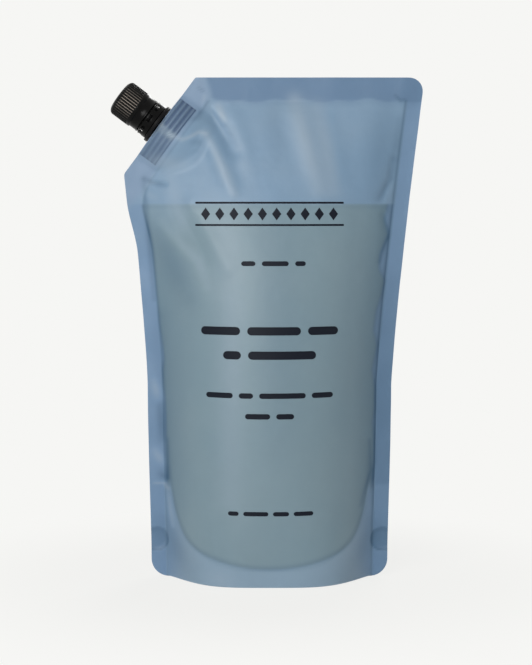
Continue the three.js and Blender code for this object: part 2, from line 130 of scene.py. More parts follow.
class Value:
    """A number that changes over a surface. Arithmetic on it adds Math nodes."""

    def __init__(self, graph: ShaderGraph, socket: Socket) -> None:
        """Keeps the graph and the output socket that the number comes from."""
        self.graph = graph
        self.socket = socket

    def math(self, operation: str, first: Any, second: Any = 0.0, clamp: bool = False) -> Value:
        """Adds one Math node.

        Args:
            operation: the node's operation.
            first: its first value, a Value or a number.
            second: its second value, a Value or a number.
            clamp: whether the result is held to 0 and 1.

        Returns:
            The node's result.
        """
        settings = {"operation": operation, "use_clamp": clamp}
        node = self.graph.node("ShaderNodeMath", settings, {0: first, 1: second})
        return Value(self.graph, node.outputs[0])

    def __add__(self, other: Any) -> Value:
        """Self plus other."""
        return self.math("ADD", self, other)

    def __sub__(self, other: Any) -> Value:
        """Self less other."""
        return self.math("SUBTRACT", self, other)

    def __rsub__(self, other: Any) -> Value:
        """Other less self."""
        return self.math("SUBTRACT", other, self)

    def __mul__(self, other: Any) -> Value:
        """Self times other."""
        return self.math("MULTIPLY", self, other)

    def __truediv__(self, other: Any) -> Value:
        """Self over other."""
        return self.math("DIVIDE", self, other)

    def clamped(self) -> Value:
        """Self held between 0 and 1."""
        return self.math("ADD", self, 0.0, clamp=True)

    def __abs__(self) -> Value:
        """The size of self."""
        return self.math("ABSOLUTE", self)

    def wave(self, period: float) -> Value:
        """A cosine of self, from -1 to 1, with the given period."""
        return self.math("COSINE", self * (TURN / period))

    def step(self, low: float, high: float) -> Value:
        """A smooth step of self from 0 at low to 1 at high."""
        node = self.graph.node(
            "ShaderNodeMapRange",
            {"interpolation_type": "SMOOTHSTEP"},
            {"Value": self, "From Min": low, "From Max": high},
        )
        return Value(self.graph, node.outputs["Result"])


class ShaderGraph:
    """The nodes of one material, world or lamp."""

    def __init__(self, owner: Any) -> None:
        """Empties the owner's node tree and keeps it."""
        owner.use_nodes = True
        self.tree = owner.node_tree
        self.tree.nodes.clear()

    def node(self, kind: str, settings: dict | None = None, inputs: dict | None = None) -> bpy.types.Node:
        """Adds one node of any type.

        Args:
            kind: the node's type.
            settings: its properties, set first.
            inputs: what each socket, by name or number, is linked to or set to.

        Returns:
            The new node.
        """
        made = self.tree.nodes.new(kind)
        for name, value in (settings or {}).items():
            setattr(made, name, value)
        for key, value in (inputs or {}).items():
            if isinstance(value, Value):
                value = value.socket
            if isinstance(value, Socket):
                self.tree.links.new(value, made.inputs[key])
            else:
                made.inputs[key].default_value = value
        return made

    def mix(self, share: Any, first: Any, second: Any, blend: str = "MIX") -> Socket:
        """Mixes two colours by a share."""
        settings = {"data_type": "RGBA", "blend_type": blend}
        return self.node("ShaderNodeMix", settings, {"Factor": share, 6: first, 7: second}).outputs[2]

    def toned(self, colour: Any, tone: Value) -> Socket:
        """The colour times a tone that is near 1."""
        grey = self.node("ShaderNodeCombineColor", None, {"Red": tone, "Green": tone, "Blue": tone})
        return self.mix(1.0, colour, grey.outputs[0], "MULTIPLY")

    def place(self) -> Socket:
        """The place on the piece, in metres."""
        return self.node("ShaderNodeTexCoord").outputs["Object"]

    def position(self) -> tuple[Value, ...]:
        """The place on the piece as three values."""
        split = self.node("ShaderNodeSeparateXYZ", None, {0: self.place()})
        return tuple(Value(self, socket) for socket in split.outputs)

    def mask(self, name: str) -> Value:
        """The number that the mesh holds at each point under this name."""
        return Value(self, self.node("ShaderNodeAttribute", {"attribute_name": name}).outputs["Fac"])

    def noise(self, scale: float, detail: float) -> Value:
        """Noise from -1 to 1, by how many lumps are in a metre and how many finer layers it has."""
        inputs = {"Vector": self.place(), "Scale": scale, "Detail": detail}
        return Value(self, self.node("ShaderNodeTexNoise", None, inputs).outputs[0]) * 2.0 - 1.0

    def bump(self, height: Value, depth: float, **under: Socket) -> Socket:
        """Tilts the surface by a height map that is depth metres high, added to the Normal under it."""
        inputs = {"Strength": 1.0, "Distance": depth, "Height": height, **under}
        return self.node("ShaderNodeBump", None, inputs).outputs[0]

    def surface(self, uniform: dict, varying: dict) -> None:
        """Ends the graph in one Principled shader with these uniform and varying sockets."""
        shader = self.node("ShaderNodeBsdfPrincipled", None, {"Metallic": 0.0, **uniform, **varying})
        self.node("ShaderNodeOutputMaterial", None, {"Surface": shader.outputs[0]})


def new_material(name: str) -> tuple[Material, ShaderGraph]:
    """Makes a material with an empty graph."""
    made = bpy.data.materials.new(name)
    return made, ShaderGraph(made)


@dataclass(frozen=True)
class Fold:
    """One soft fold in the film: a ridge, or a valley where its height is below 0."""

    path: tuple[Pair, ...]
    width: float
    height: float
    end_share: float = 0.35

    def relief(self, x: Array, z: Array) -> Array:
        """How far the fold lifts the film at each point.

        Args:
            x: across the pouch.
            z: up the pouch.

        Returns:
            The lift, in millimetres.
        """
        points = np.array(self.path, float)
        spans = np.linalg.norm(np.diff(points, axis=0), axis=1)
        nearest = np.full(x.shape, np.inf)
        share = np.zeros(x.shape)
        for index, span in enumerate(spans):
            start, along = points[index], (points[index + 1] - points[index]) / span
            run = np.clip((x - start[0]) * along[0] + (z - start[1]) * along[1], 0.0, span)
            away = np.hypot(x - start[0] - run * along[0], z - start[1] - run * along[1])
            closer = away < nearest
            nearest = np.where(closer, away, nearest)
            share = np.where(closer, (spans[:index].sum() + run) / spans.sum(), share)
        swell = lerp(self.end_share, 1.0, np.sin(np.pi * lerp(0.15, 0.85, share)))
        return self.height * bell(nearest, self.width) * swell


def folds(*rows: tuple[float, ...]) -> tuple[Fold, ...]:
    """Folds from rows of a width, a height, and the x and z of each place that the fold runs through."""
    return tuple(Fold(tuple(zip(row[2::2], row[3::2])), row[0], row[1]) for row in rows)


FRONT_FOLDS = folds(
    (1.9, 1.1, -53.4, 252.1, -48.9, 249.8, -44.9, 252.1, -40.4, 255.5, -35.3, 254.3),
    (5, 2, -36, 255.5, -29, 240, -21.6, 221.4),
    (1.9, 0.9, -38.7, 252.6, -42.1, 246.4, -53.4, 240.1, -58, 238.4),
    (4.5, -1.4, -38.1, 269.7, -29, 257, -19.9, 244.1),
    (2.5, 0.9, -35.3, 274.2, -25.6, 261.2),
    (6, 0.9, -23.9, 274.2, -14.2, 241.3),
    (7, 1.1, 14.2, 273.7, 29, 218),
    (9, -0.7, 34, 270, 44, 232),
    (1.8, -1, -71.6, 228.8, -66.5, 226.5, -59.7, 225.4),
    (2.6, -1.3, 71, 240.1, 69.3, 228.8, 63, 217.4),
    (2.2, -1, 64.5, 208.3, 67.4, 196.4, 62.5, 181.6),
    (5, 1.1, -44.9, 214, -34, 196, -23.9, 178.2),
    (4.5, -0.8, -53, 212, -38, 182),
    (6, 0.9, -59.7, 181.6, -39.8, 158.9),
    (5, -0.6, -64, 196, -52, 168),
    (1.8, -0.8, -58.3, 80, -58, 57),
    (1.6, 0.7, -58.5, 55, -57.5, 42, -55.5, 30),
    (1.8, -0.9, 57.4, 79.3, 58.3, 62.3, 54.5, 51, 52.2, 42.4),
)

PACKED_FOLDS = folds(
    (5, 2.2, -55, 251, -38, 257),
    (6, 2.4, -38, 257, -20, 221),
    (7, -1.6, -31, 268, -16, 238),
    (8, 1.1, -58, 184, -38, 156),
    (10, 1.2, 17, 266, 33, 226),
    (6, -1.4, 71, 236, 61, 208),
)

BACK_FOLDS = folds(
    (4, 1.4, -50, 252, -38, 250, -22, 226),
    (5, -1.2, -36, 268, -20, 240),
    (8, 1, 8, 272, 20, 222),
    (7, -0.9, 48, 262, 40, 226),
    (4, -1, 70, 236, 60, 208),
    (6, 0.9, -57, 186, -40, 160),
    (5, 0.7, 58, 92, 48, 66),
)

# Streaks of painted shade beside the film's folds and creases, and painted highlights along its ridges and
# sheen bands. Their height is a share: darker above 0, lighter below.
FRONT_PAINTED_STREAKS = folds(
    (1.4, 0.4, -71.6, 228.8, -66.5, 226.5, -58.5, 225),
    (1.6, 0.35, -71.8, 228.5, -70.5, 214, -68.5, 190, -66, 160),
    (1.8, -0.25, -70, 220, -65, 218),
    (0.8, 0.35, -40.5, 280.5, -36, 277),
    (1, -0.4, -36.5, 277.5, -38.5, 268),
    (0.9, -0.6, -62.6, 260.4, -60.4, 258),
    (1.1, -0.8, -57.2, 254.2, -55.4, 252.4),
    (1.2, -0.55, -53.7, 252.3, -49.1, 250.6, -44.6, 252.3, -40, 255.1, -36, 254),
    (3, -0.6, -36, 254, -31.4, 244.3, -25.7, 232.9, -20, 220.3),
    (2.2, -0.75, -29.2, 269.8, -26.3, 262.6),
    (3, -0.3, -26.3, 262.6, -18, 246),
    (2.2, 0.22, -43, 249.5, -37, 249, -33, 240),
    (4.5, 0.24, -37, 268, -27.4, 255.7, -20, 241.4, -16, 226),
    (1.6, 0.25, -46, 262, -40.5, 263, -36.5, 272),
    (5, -0.6, 14.3, 273, 20, 250, 27.4, 222.6),
    (6, 0.16, 2, 268, 6, 238),
    (7, 0.14, 36, 262, 43, 230),
    (9, 0.26, 66, 268, 62, 222),
    (11, 0.16, 50, 206, 47, 120, 46, 40),
    (0.9, 0.5, 71.5, 276, 74.5, 273, 77, 273.5),
    (1.8, 0.35, 71, 240.1, 69.3, 228.8, 63, 217.4),
    (2.5, 0.2, 74, 262, 71, 240.1),
    (1.5, 0.35, 64.5, 208.3, 67.4, 196.4, 62.5, 181.6),
    (8.5, 0.34, -64.5, 197, -55, 181, -47, 163),
    (3, -0.3, -61, 204, -50, 191.5, -40, 182, -35, 168),
    (5, 0.22, -63, 150, -60, 60),
    (9, 0.14, -50, 150, -52, 45),
    (8, -0.3, -24, 198, -21, 150, -22, 50),
    (13, 0.16, 1, 200, 3, 150, 6, 80),
    (1, 0.4, -58.3, 80, -58, 57),
    (1.2, -0.6, -60, 53, -58, 51.5),
    (1.3, -0.35, -58.5, 50, -57.5, 42, -55.5, 30),
    (1.2, 0.45, 57.4, 79.3, 58.3, 62.3, 54.5, 51, 52.2, 42.4),
    (7, 0.3, -47, 8, -60, 30),
    (7, 0.25, 47, 8, 60, 30),
    (5, -0.3, -32, 4, -24, 3),
    (3, -0.5, -66, 112, -64, 104),
    (2.6, -0.45, -65, 72, -62, 66),
    (2.4, 0.3, -63, 98, -61.5, 80),
    (2, 0.3, -63, 59, -60, 57.5),
    (0.8, -0.45, -66.5, 54, -59, 54.2),
    (5.5, -0.5, 27, 268, 32, 248, 36, 222),
    (4, -0.35, -67, 239, -50, 236),
    (4.5, -0.3, -57, 231, -49, 202),
    (4.5, -0.25, -18, 244, -14, 226),
)

# How far the filling stays away from the weld along each side, as height and distance
WET_EDGE_LEFT = (
    (54.7, 1.8), (70, 1.5), (92, 1.8), (104, 1.4), (111, 0.3), (119, 0.4), (126, 1.8), (134, 1.4), (146, 0.2),
    (214, 0),
)
WET_EDGE_RIGHT = (
    (54.7, 1.8), (66, 0.3), (80, 1), (90, 2.1), (97, 1), (109.8, 1.1), (119.6, 3.1), (133.8, 1.4),
    (142.2, 4.2), (153.5, 3.7), (162, 1.7), (170.5, 0.4), (177.6, 4.6), (186, 4.9), (197.3, 1.1), (205.8, 4.4),
    (214, 3.6),
)


@dataclass(frozen=True)
class PouchShape:
    """The pouch's outline and the curve of its film, in millimetres."""

    pack_height: float = 286.0
    top_half_width: float = 87.0
    waist_half_width: float = 70.0
    foot_half_width: float = 68.0
    top_lean: float = 1.3
    shoulder_flare: float = 3.2
    waist_height: float = 110.0
    top_corner_radius: float = 9.0
    foot_corner_radius: float = 10.0
    cut_drop: float = 54.7
    cut_run: float = 40.9
    cut_corner_radius: float = 1.0
    film_thickness: float = 0.25
    weld_gap: float = 0.1
    top_seal: float = 13.0
    side_seal: float = 8.5
    spout_seal: float = 13.5
    fill_height: float = 214.0
    body_depth: float = 34.5
    foot_depth: float = 35.0
    body_start: float = 60.0
    taper_power: float = 1.3
    tent_reach: float = 46.0
    gusset_height: float = 52.6
    foot_seal: float = 10.0
    flat_half_length: float = 33.0
    flat_half_depth: float = 15.0
    gusset_gap: float = 0.3
    punch_radius: float = 7.0
    punch_height: float = 21.6
    punch_inset: float = 3.0
    boat_length: float = 38.8
    boat_thickness: float = 13.4
    boat_tip: float = 0.9
    rib_proud: float = 0.45
    film_on_boat: float = 0.7
    edge_curl: float = 1.3
    edge_wave: float = 0.45
    side_bow: float = 1.25
    flare_reach: float = 28.0
    skirt_fade: float = 45.0
    foot_lens: Pair = (4.0, 1.5)
    body_lens: Pair = (2.1, 1.0)
    fold_fade: float = 9.0
    slack_reach: float = 12.0
    press_sag: float = 8.5
    press_span: float = 41.6
    press_rise: float = 25.8
    press_reach: float = 56.5
    press_power: int = 12
    outer_station: float = 1.2

    @property
    def seal_line(self) -> float:
        """The height of the top seal's lower edge."""
        return self.pack_height - self.top_seal

    @property
    def cut_low(self) -> Array:
        """The lower end of the cut corner."""
        height = self.pack_height - self.cut_drop
        return np.array([float(self.side_edge(-1, np.array(height))), height])

    @property
    def cut_middle(self) -> Array:
        """The middle of the cut corner."""
        return self.cut_low + np.array([self.cut_run, self.cut_drop]) / 2.0

    @property
    def cut_along(self) -> Array:
        """The direction of the cut edge, upward."""
        return np.array([self.cut_run, self.cut_drop]) / math.hypot(self.cut_run, self.cut_drop)

    @property
    def cut_inward(self) -> Array:
        """The direction square to the cut edge, into the pouch."""
        return np.array([self.cut_along[1], -self.cut_along[0]])

    def side_edge(self, side: int, z: Array) -> Array:
        """The x of a straight side, before its corners are rounded.

        Args:
            side: -1 for the spout's side, 1 for the other.
            z: heights.

        Returns:
            The x at each height.
        """
        foot = lerp(self.foot_half_width, self.waist_half_width, smoothstep(0, self.waist_height, z))
        rise = np.maximum(z - self.waist_height, 0.0) / (self.pack_height - self.waist_height)
        half = foot + (self.top_half_width - self.waist_half_width) * rise**self.side_bow
        if side < 0:
            flare_start = self.fill_height - self.flare_reach
            half = half + self.shoulder_flare * smoothstep(flare_start, self.fill_height + 2, z)
        return side * half + self.top_lean * rise

    @staticmethod
    def rounded_pull(radius: float, reach: Array) -> Array:
        """How far a corner of this radius pulls an edge in, by the reach into the corner."""
        inside = np.clip(reach, 0.0, radius)
        return radius - np.sqrt(radius * radius - inside * inside)

    def cut_edge(self, z: Array) -> Array:
        """The x of the cut corner's line at each height."""
        return self.cut_low[0] + (z - self.cut_low[1]) * self.cut_run / self.cut_drop

    def outer_edge(self, side: int, z: Array) -> Array:
        """The x of the film's outer edge.

        Args:
            side: -1 for the spout's side, 1 for the other.
            z: heights.

        Returns:
            The x at each height.
        """
        foot_pull = self.rounded_pull(self.foot_corner_radius, self.foot_corner_radius - z)
        radius = self.top_corner_radius if side > 0 else self.cut_corner_radius
        top_pull = self.rounded_pull(radius, z - (self.pack_height - radius))
        if side > 0:
            return self.side_edge(1, z) - top_pull - foot_pull
        return soft_max(self.side_edge(-1, z), self.cut_edge(z), radius) + top_pull / 2.0 + foot_pull

    def seal_edge(self, side: int, z: Array) -> Array:
        """The x of a seal's inner edge.

        Args:
            side: -1 for the spout's side, 1 for the other.
            z: heights.

        Returns:
            The x at each height.
        """
        straight = self.side_edge(side, z) - side * self.side_seal
        if side > 0:
            return np.minimum(straight, self.outer_edge(1, z) - 1.0)
        cut = self.cut_edge(z) + self.spout_seal / self.cut_inward[0]
        return np.maximum(soft_max(straight, cut, self.side_seal), self.outer_edge(-1, z) + 1.0)

    def from_cut(self, x: Any, z: Any) -> tuple[Any, Any]:
        """The distances in from the cut edge and along it.

        Args:
            x: across the pouch, as numbers or shader values.
            z: up the pouch, as the same.

        Returns:
            The inward and the upward distance from the middle of the cut edge.
        """
        across, up = x - self.cut_middle[0], z - self.cut_middle[1]
        inward = across * self.cut_inward[0] + up * self.cut_inward[1]
        along = across * self.cut_along[0] + up * self.cut_along[1]
        return inward, along

    def boat_half(self, along: Array) -> Array:
        """Half the thickness of the spout's welded base at a place along it."""
        share = np.minimum(np.abs(along) / (self.boat_length / 2.0), 1.0)
        return self.boat_tip / 2.0 + (self.boat_thickness - self.boat_tip) / 2.0 * (1.0 - share**2)

    def fullness(self, z: Array) -> Array:
        """How deep the middle of one panel bulges.

        Args:
            z: heights.

        Returns:
            The depth at each height.
        """
        share = np.clip((z - self.body_start) / (self.seal_line - self.body_start), 0.0, 1.0)
        depth = lerp(self.foot_depth, self.body_depth, smoothstep(0, self.body_start, z))
        return depth * np.cos(math.pi / 2.0 * share**self.taper_power)

    def skirt_room(self, z: Array) -> Array:
        """The room that the gusset's skirt takes between a panel and the middle plane."""
        faded = smoothstep(self.gusset_height + self.skirt_fade, self.gusset_height, z)
        return (self.gusset_gap * 2.0 + self.film_thickness) * faded

    def punched(self, x: Array, z: Array, outside: float, inside: float) -> Array:
        """1 inside the two half-moons where the panels are welded through the gusset, else 0.

        Args:
            x: across the pouch.
            z: up the pouch.
            outside: how far past the half-moons' edge the fade starts.
            inside: how far within their edge it ends.

        Returns:
            The share at each point.
        """
        away = np.hypot(np.abs(x) - (self.foot_half_width - self.punch_inset), z - self.punch_height)
        return smoothstep(self.punch_radius + outside, self.punch_radius - inside, away)

    def weld_dip(self, x: Array, z: Array) -> Array:
        """How far a panel is pressed in where it is welded through the gusset."""
        return self.skirt_room(z) * self.punched(x, z, 0.6, 2.6)

    def inner_depth(self, x: Array, z: Array, folded: tuple[Fold, ...]) -> Array:
        """How far a panel's inner face stands from the middle plane.

        Args:
            x: across the pouch.
            z: up the pouch.
            folded: the folds in this panel.

        Returns:
            The distance at each point.
        """
        left, right = self.seal_edge(-1, z), self.seal_edge(1, z)
        across = np.minimum(np.abs(x - (left + right) / 2.0) / ((right - left) / 2.0), 1.0)
        upper = smoothstep(0, self.body_start, z)
        broad, steep = (lerp(foot, body, upper) for foot, body in zip(self.foot_lens, self.body_lens))
        slack = np.minimum((1.0 - across) * self.slack_reach, 1.0)
        slack = slack * smoothstep(self.seal_line, self.seal_line - self.fold_fade, z)
        creases = sum(fold.relief(x, z) for fold in folded) * slack
        bulge = np.maximum(self.fullness(z) * (1.0 - across**broad) ** steep + creases, 0.0)
        inward, along = self.from_cut(x, z)
        half = self.boat_length / 2.0
        tent = self.boat_half(along) + self.film_on_boat + self.rib_proud
        tent = tent * smoothstep(half + 3.5, half - 1.0, np.abs(along))
        tent = tent * smoothstep(self.tent_reach, self.spout_seal, inward)
        blend = 0.4 + 0.9 * np.minimum(bulge, tent)
        return soft_max(bulge, tent, blend) + self.skirt_room(z) - self.weld_dip(x, z) + self.weld_gap / 2.0

    def lean(self, x: Array, z: Array) -> Array:
        """How far both films lie back from the middle plane: the curl and the waves of the free edges.

        Args:
            x: across the pouch.
            z: up the pouch.

        Returns:
            The distance at each point.
        """
        clear = smoothstep(50.0, 95.0, z) * smoothstep(-2.0, 26.0, self.from_cut(x, z)[0])
        left = smoothstep(self.side_seal + 5.0, 0.0, x - self.side_edge(-1, z))
        right = smoothstep(self.side_seal + 5.0, 0.0, self.side_edge(1, z) - x)
        top = smoothstep(self.top_seal + 6.0, 0.0, self.pack_height - z) * smoothstep(-24.0, 6.0, x)
        side_wave = ripple(z, (1.0, 9.7, 1.0), (0.6, 4.1, 2.0))
        top_wave = ripple(x, (1.0, 8.3, 0.0), (0.5, 3.7, 1.0))
        curl = self.edge_curl * (left + right) * clear
        return curl + self.edge_wave * ((left - right) * side_wave * clear + 0.5 * top * top_wave)

    def column_x(self, station: Array, z: Array) -> Array:
        """The x of a grid column.

        Args:
            station: the column's place: -1 to 1 runs between the seals, and beyond is across a seal.
            z: heights.

        Returns:
            The x at each height.
        """
        left, right = self.seal_edge(-1, z), self.seal_edge(1, z)
        seal = self.outer_station - 1.0
        inner = lerp(left, right, (station + 1.0) / 2.0)
        on_left = lerp(left, self.outer_edge(-1, z), (-1.0 - station) / seal)
        on_right = lerp(right, self.outer_edge(1, z), (station - 1.0) / seal)
        return np.where(station < -1.0, on_left, np.where(station > 1.0, on_right, inner))

    def above_skirt(self, x: Array, z: Array) -> Array:
        """How far each point is above the line down to which the filling presses the panel full.

        Args:
            x: across the pouch.
            z: up the pouch.

        Returns:
            The distance square to the line.
        """
        share = np.minimum(np.abs(x) / self.press_reach, 1.0)
        line = self.foot_seal + self.press_sag * (x / self.press_span) ** 2
        line = line + self.press_rise * share**self.press_power
        sag_slope = 2.0 * self.press_sag * x / self.press_span**2
        end_slope = self.press_power * self.press_rise / self.press_reach * share ** (self.press_power - 1)
        return (z - line) / np.sqrt(1.0 + sag_slope**2 + end_slope**2)

    def seam_height(self, x: Array) -> Array:
        """The height of the U-shaped seam that welds the gusset to the panels."""
        reach = np.minimum(np.abs(x) / (self.foot_half_width - self.side_seal - 1.0), 1.0)
        return self.foot_seal + (self.gusset_height - self.foot_seal) * reach**4

    def rows(self, count: int) -> Array:
        """Heights of a grid's rows, closer together where the corners are rounded.

        Args:
            count: how many rows are between the corners.

        Returns:
            The heights, upward.
        """
        rise = 1.0 - np.cos(np.radians(np.arange(0.0, 91.0, 7.5)))
        foot, top = self.foot_corner_radius, self.pack_height - self.top_corner_radius
        middle = np.linspace(foot, top, count)
        heights = [foot * rise, self.pack_height - self.top_corner_radius * rise, middle]
        return np.unique(np.round(np.concatenate(heights), 5))

    def stations(self, inner: int, left: int, right: int) -> Array:
        """Places of a grid's columns, with a few across each seal.

        Args:
            inner: how many columns are between the seals.
            left: how many are across the left seal.
            right: how many are across the right one.

        Returns:
            The places, from left to right.
        """
        share = np.linspace(-1.0, 1.0, inner)
        between = lerp(np.sin(math.pi / 2.0 * share), share, 0.8)
        on_left = np.linspace(-self.outer_station, -1.0, left, endpoint=False)
        on_right = np.linspace(self.outer_station, 1.0, right, endpoint=False)[::-1]
        return np.concatenate([on_left, between, on_right])


@dataclass(frozen=True)
class SpoutSizes:
    """Sizes that the fitment, the tamper ring and the cap share, in millimetres from the cut edge."""

    boat_height: float = 10.6
    boat_sink: float = 0.6
    rib_count: int = 4
    flange_radius: float = 11.75
    flange_thickness: float = 2.6
    neck_radius: float = 8.0
    bore_radius: float = 6.2
    bead_proud: float = 1.2
    bead_height: float = 1.5
    thread_lead: float = 3.2
    thread_proud: float = 0.9
    thread_turns: float = 2.25
    cap_radius: float = 10.7
    cap_length: float = 19.5
    cap_top_wall: float = 1.6
    cap_tip_radius: float = 3.0
    waist_inset: float = 0.6
    skirt_length: float = 5.3
    ridge_length: float = 1.8
    knurl_count: int = 40
    knurl_depth: float = 0.4
    plug_length: float = 3.0
    plug_wall: float = 1.1
    running_gap: float = 0.3
    ring_wall: float = 0.8
    ring_height: float = 5.2
    ring_windows: int = 8
    bridge_width: float = 1.0
    bridge_length: float = 0.5
    thread_rise: float = 3.4
    thread_root: float = 0.26
    thread_crest: float = 0.09
    thread_sunk: float = 0.6
    window_length: float = 0.62
    window_height: float = 0.36
    window_drop: float = 0.32

    @property
    def rib_pitch(self) -> float:
        """The height of one rib, or of one groove between two ribs."""
        return self.boat_height / (2 * self.rib_count - 1)

    @property
    def bead_start(self) -> float:
        """Where the retaining bead starts."""
        return self.flange_thickness + self.ring_height * 0.45

    @property
    def cap_start(self) -> float:
        """The cap's open end."""
        return self.flange_thickness + self.ring_height + 2 * self.running_gap + self.bridge_length

    @property
    def cap_top(self) -> float:
        """The cap's closed end."""
        return self.cap_start + self.cap_length

    @property
    def neck_top(self) -> float:
        """The neck's open end."""
        return self.cap_top - self.cap_top_wall - self.running_gap

    @property
    def cap_bore(self) -> float:
        """The radius inside the cap."""
        return self.neck_radius + self.thread_proud + self.running_gap

    def place(self, shape: PouchShape) -> Matrix:
        """The turn and shift that stand a spout piece square on the cut edge, in metres."""
        along, out, middle = shape.cut_along, -shape.cut_inward, shape.cut_middle * MM
        return Matrix((
            (along[0], 0.0, out[0], middle[0]),
            (0.0, 1.0, 0.0, 0.0),
            (along[1], 0.0, out[1], middle[1]),
            (0.0, 0.0, 0.0, 1.0),
        ))


def add_object(name: str, data: Any) -> Solid:
    """Makes an object that shows some data, and links it to the scene.

    Args:
        name: the object's name.
        data: its mesh, lamp or camera.

    Returns:
        The object.
    """
    made = bpy.data.objects.new(name, data)
    bpy.context.scene.collection.objects.link(made)
    return made


@contextmanager
def editing(mesh: bpy.types.Mesh) -> Iterator[bmesh.types.BMesh]:
    """Opens a mesh for a change, and writes it back afterwards.

    Args:
        mesh: the mesh.

    Returns:
        The open mesh.
    """
    work = bmesh.new()
    work.from_mesh(mesh)
    yield work
    work.to_mesh(mesh)
    work.free()


def make_object(name: str, vertices: Any, faces: Any) -> Solid:
    """Makes a mesh object from points in millimetres, with its faces turned out and smooth.

    Args:
        name: the piece's name.
        vertices: its points.
        faces: lists of point numbers.

    Returns:
        The object, linked to the scene.
    """
    mesh = bpy.data.meshes.new(name)
    mesh.from_pydata((np.asarray(vertices, float) * MM).tolist(), [], faces)
    with editing(mesh) as work:
        bmesh.ops.recalc_face_normals(work, faces=work.faces)
        if work.calc_volume(signed=True) < 0.0:
            bmesh.ops.reverse_faces(work, faces=work.faces)
    made = add_object(name, mesh)
    smooth(made)
    return made


def smooth(piece: Solid, crease_degrees: float = 40.0) -> None:
    """Shades a piece smooth, apart from edges sharper than the given angle."""
    piece.data.shade_smooth()
    piece.data.set_sharp_from_angle(angle=math.radians(crease_degrees))


def hold(piece: Solid, name: str, values: Array) -> None:
    """Keeps one number at each point of a piece, under a name that its material reads."""
    attribute = piece.data.attributes.new(name, "FLOAT", "POINT")
    attribute.data.foreach_set("value", values.astype(np.float32))


def closed_sheet(name: str, outside: Array, inside: Array) -> Solid:
    """Makes a thin sheet from two grids of points, closed round its rim.

    Args:
        name: the piece's name.
        outside: rows by columns of points on one face.
        inside: the same on the other face.

    Returns:
        The sheet.
    """
    rows, columns = outside.shape[:2]
    number = np.arange(rows * columns).reshape(rows, columns)
    corners = (number[:-1, :-1], number[:-1, 1:], number[1:, 1:], number[1:, :-1])
    quads = np.stack(corners, axis=-1).reshape(-1, 4)
    rim = np.concatenate([number[0, :], number[1:, -1], number[-1, -2::-1], number[-2:0:-1, 0]])
    following = np.roll(rim, -1)
    offset = rows * columns
    walls = np.stack([rim, following, following + offset, rim + offset], axis=-1)
    faces = np.concatenate([quads, quads[:, ::-1] + offset, walls])
    points = np.concatenate([outside.reshape(-1, 3), inside.reshape(-1, 3)])
    return make_object(name, points, faces.tolist())


def lofted(name: str, rings: Array, poles: tuple[float, float] | None) -> Solid:
    """Joins rings of points into a closed body.

    Args:
        name: the piece's name.
        rings: rings by points, all with as many points.
        poles: heights of the points on the axis that close the first and last ring, or None where the
            last ring joins the first.

    Returns:
        The body.
    """
    count, around = rings.shape[:2]
    number = np.arange(count * around).reshape(count, around)
    follow = number if poles else np.concatenate([number, number[:1]])
    lower, upper = follow[:-1], follow[1:]
    quads = np.stack([lower, np.roll(lower, -1, 1), np.roll(upper, -1, 1), upper], axis=-1)
    faces = quads.reshape(-1, 4).tolist()
    points = rings.reshape(-1, 3)
    if poles:
        points = np.concatenate([points, [[0.0, 0.0, poles[0]], [0.0, 0.0, poles[1]]]])
        for ring, pole in ((number[0], count * around), (number[-1], count * around + 1)):
            faces += [[int(near), int(far), pole] for near, far in zip(ring, np.roll(ring, -1))]
    return make_object(name, points, faces)


def turned(name: str, profile: list[Pair], around: int, closed: bool = False) -> Solid:
    """Turns a profile of radius and height pairs about the Z axis.

    Args:
        name: the piece's name.
        profile: the pairs, in millimetres.
        around: how many points a ring has.
        closed: whether the profile closes on itself, rather than ending on the axis.

    Returns:
        The body.
    """
    angles = np.linspace(0.0, TURN, around, endpoint=False)
    circle = [(math.cos(angle), math.sin(angle)) for angle in angles]
    rings = np.array([[(radius * x, radius * y, height) for x, y in circle] for radius, height in profile])
    return lofted(name, rings, None if closed else (profile[0][1], profile[-1][1]))


def tidy_cut(mesh: bpy.types.Mesh) -> None:
    """Takes out the points along straight edges and the slivers that a cut leaves.

    Args:
        mesh: the mesh that was cut.
    """
    with editing(mesh) as work:
        spare = []
        for point in work.verts:
            if len(point.link_edges) == 2:
                first, second = (edge.other_vert(point).co - point.co for edge in point.link_edges)
                if first.angle(second, 0.0) > math.radians(179.0):
                    spare.append(point)
        bmesh.ops.dissolve_verts(work, verts=spare)
        bmesh.ops.dissolve_degenerate(work, dist=1e-6, edges=work.edges)
        bmesh.ops.triangulate(work, faces=[face for face in work.faces if len(face.verts) > 4])


def combine(target: Solid, other: Solid, operation: str) -> None:
    """Joins one body to another, or cuts it away, and removes it.

    Args:
        target: the body that stays.
        other: the one that is joined or cut away.
        operation: UNION or DIFFERENCE.
    """
    modifier = target.modifiers.new("combine", "BOOLEAN")
    modifier.operation = operation
    modifier.solver = "EXACT"
    modifier.object = other
    depsgraph = bpy.context.evaluated_depsgraph_get()
    mesh = bpy.data.meshes.new_from_object(target.evaluated_get(depsgraph))
    target.modifiers.clear()
    target.data = mesh
    if not mesh.polygons:
        raise RuntimeError(f"{operation} with {other.name} leaves nothing of {target.name}")
    tidy_cut(mesh)
    bpy.data.objects.remove(other)


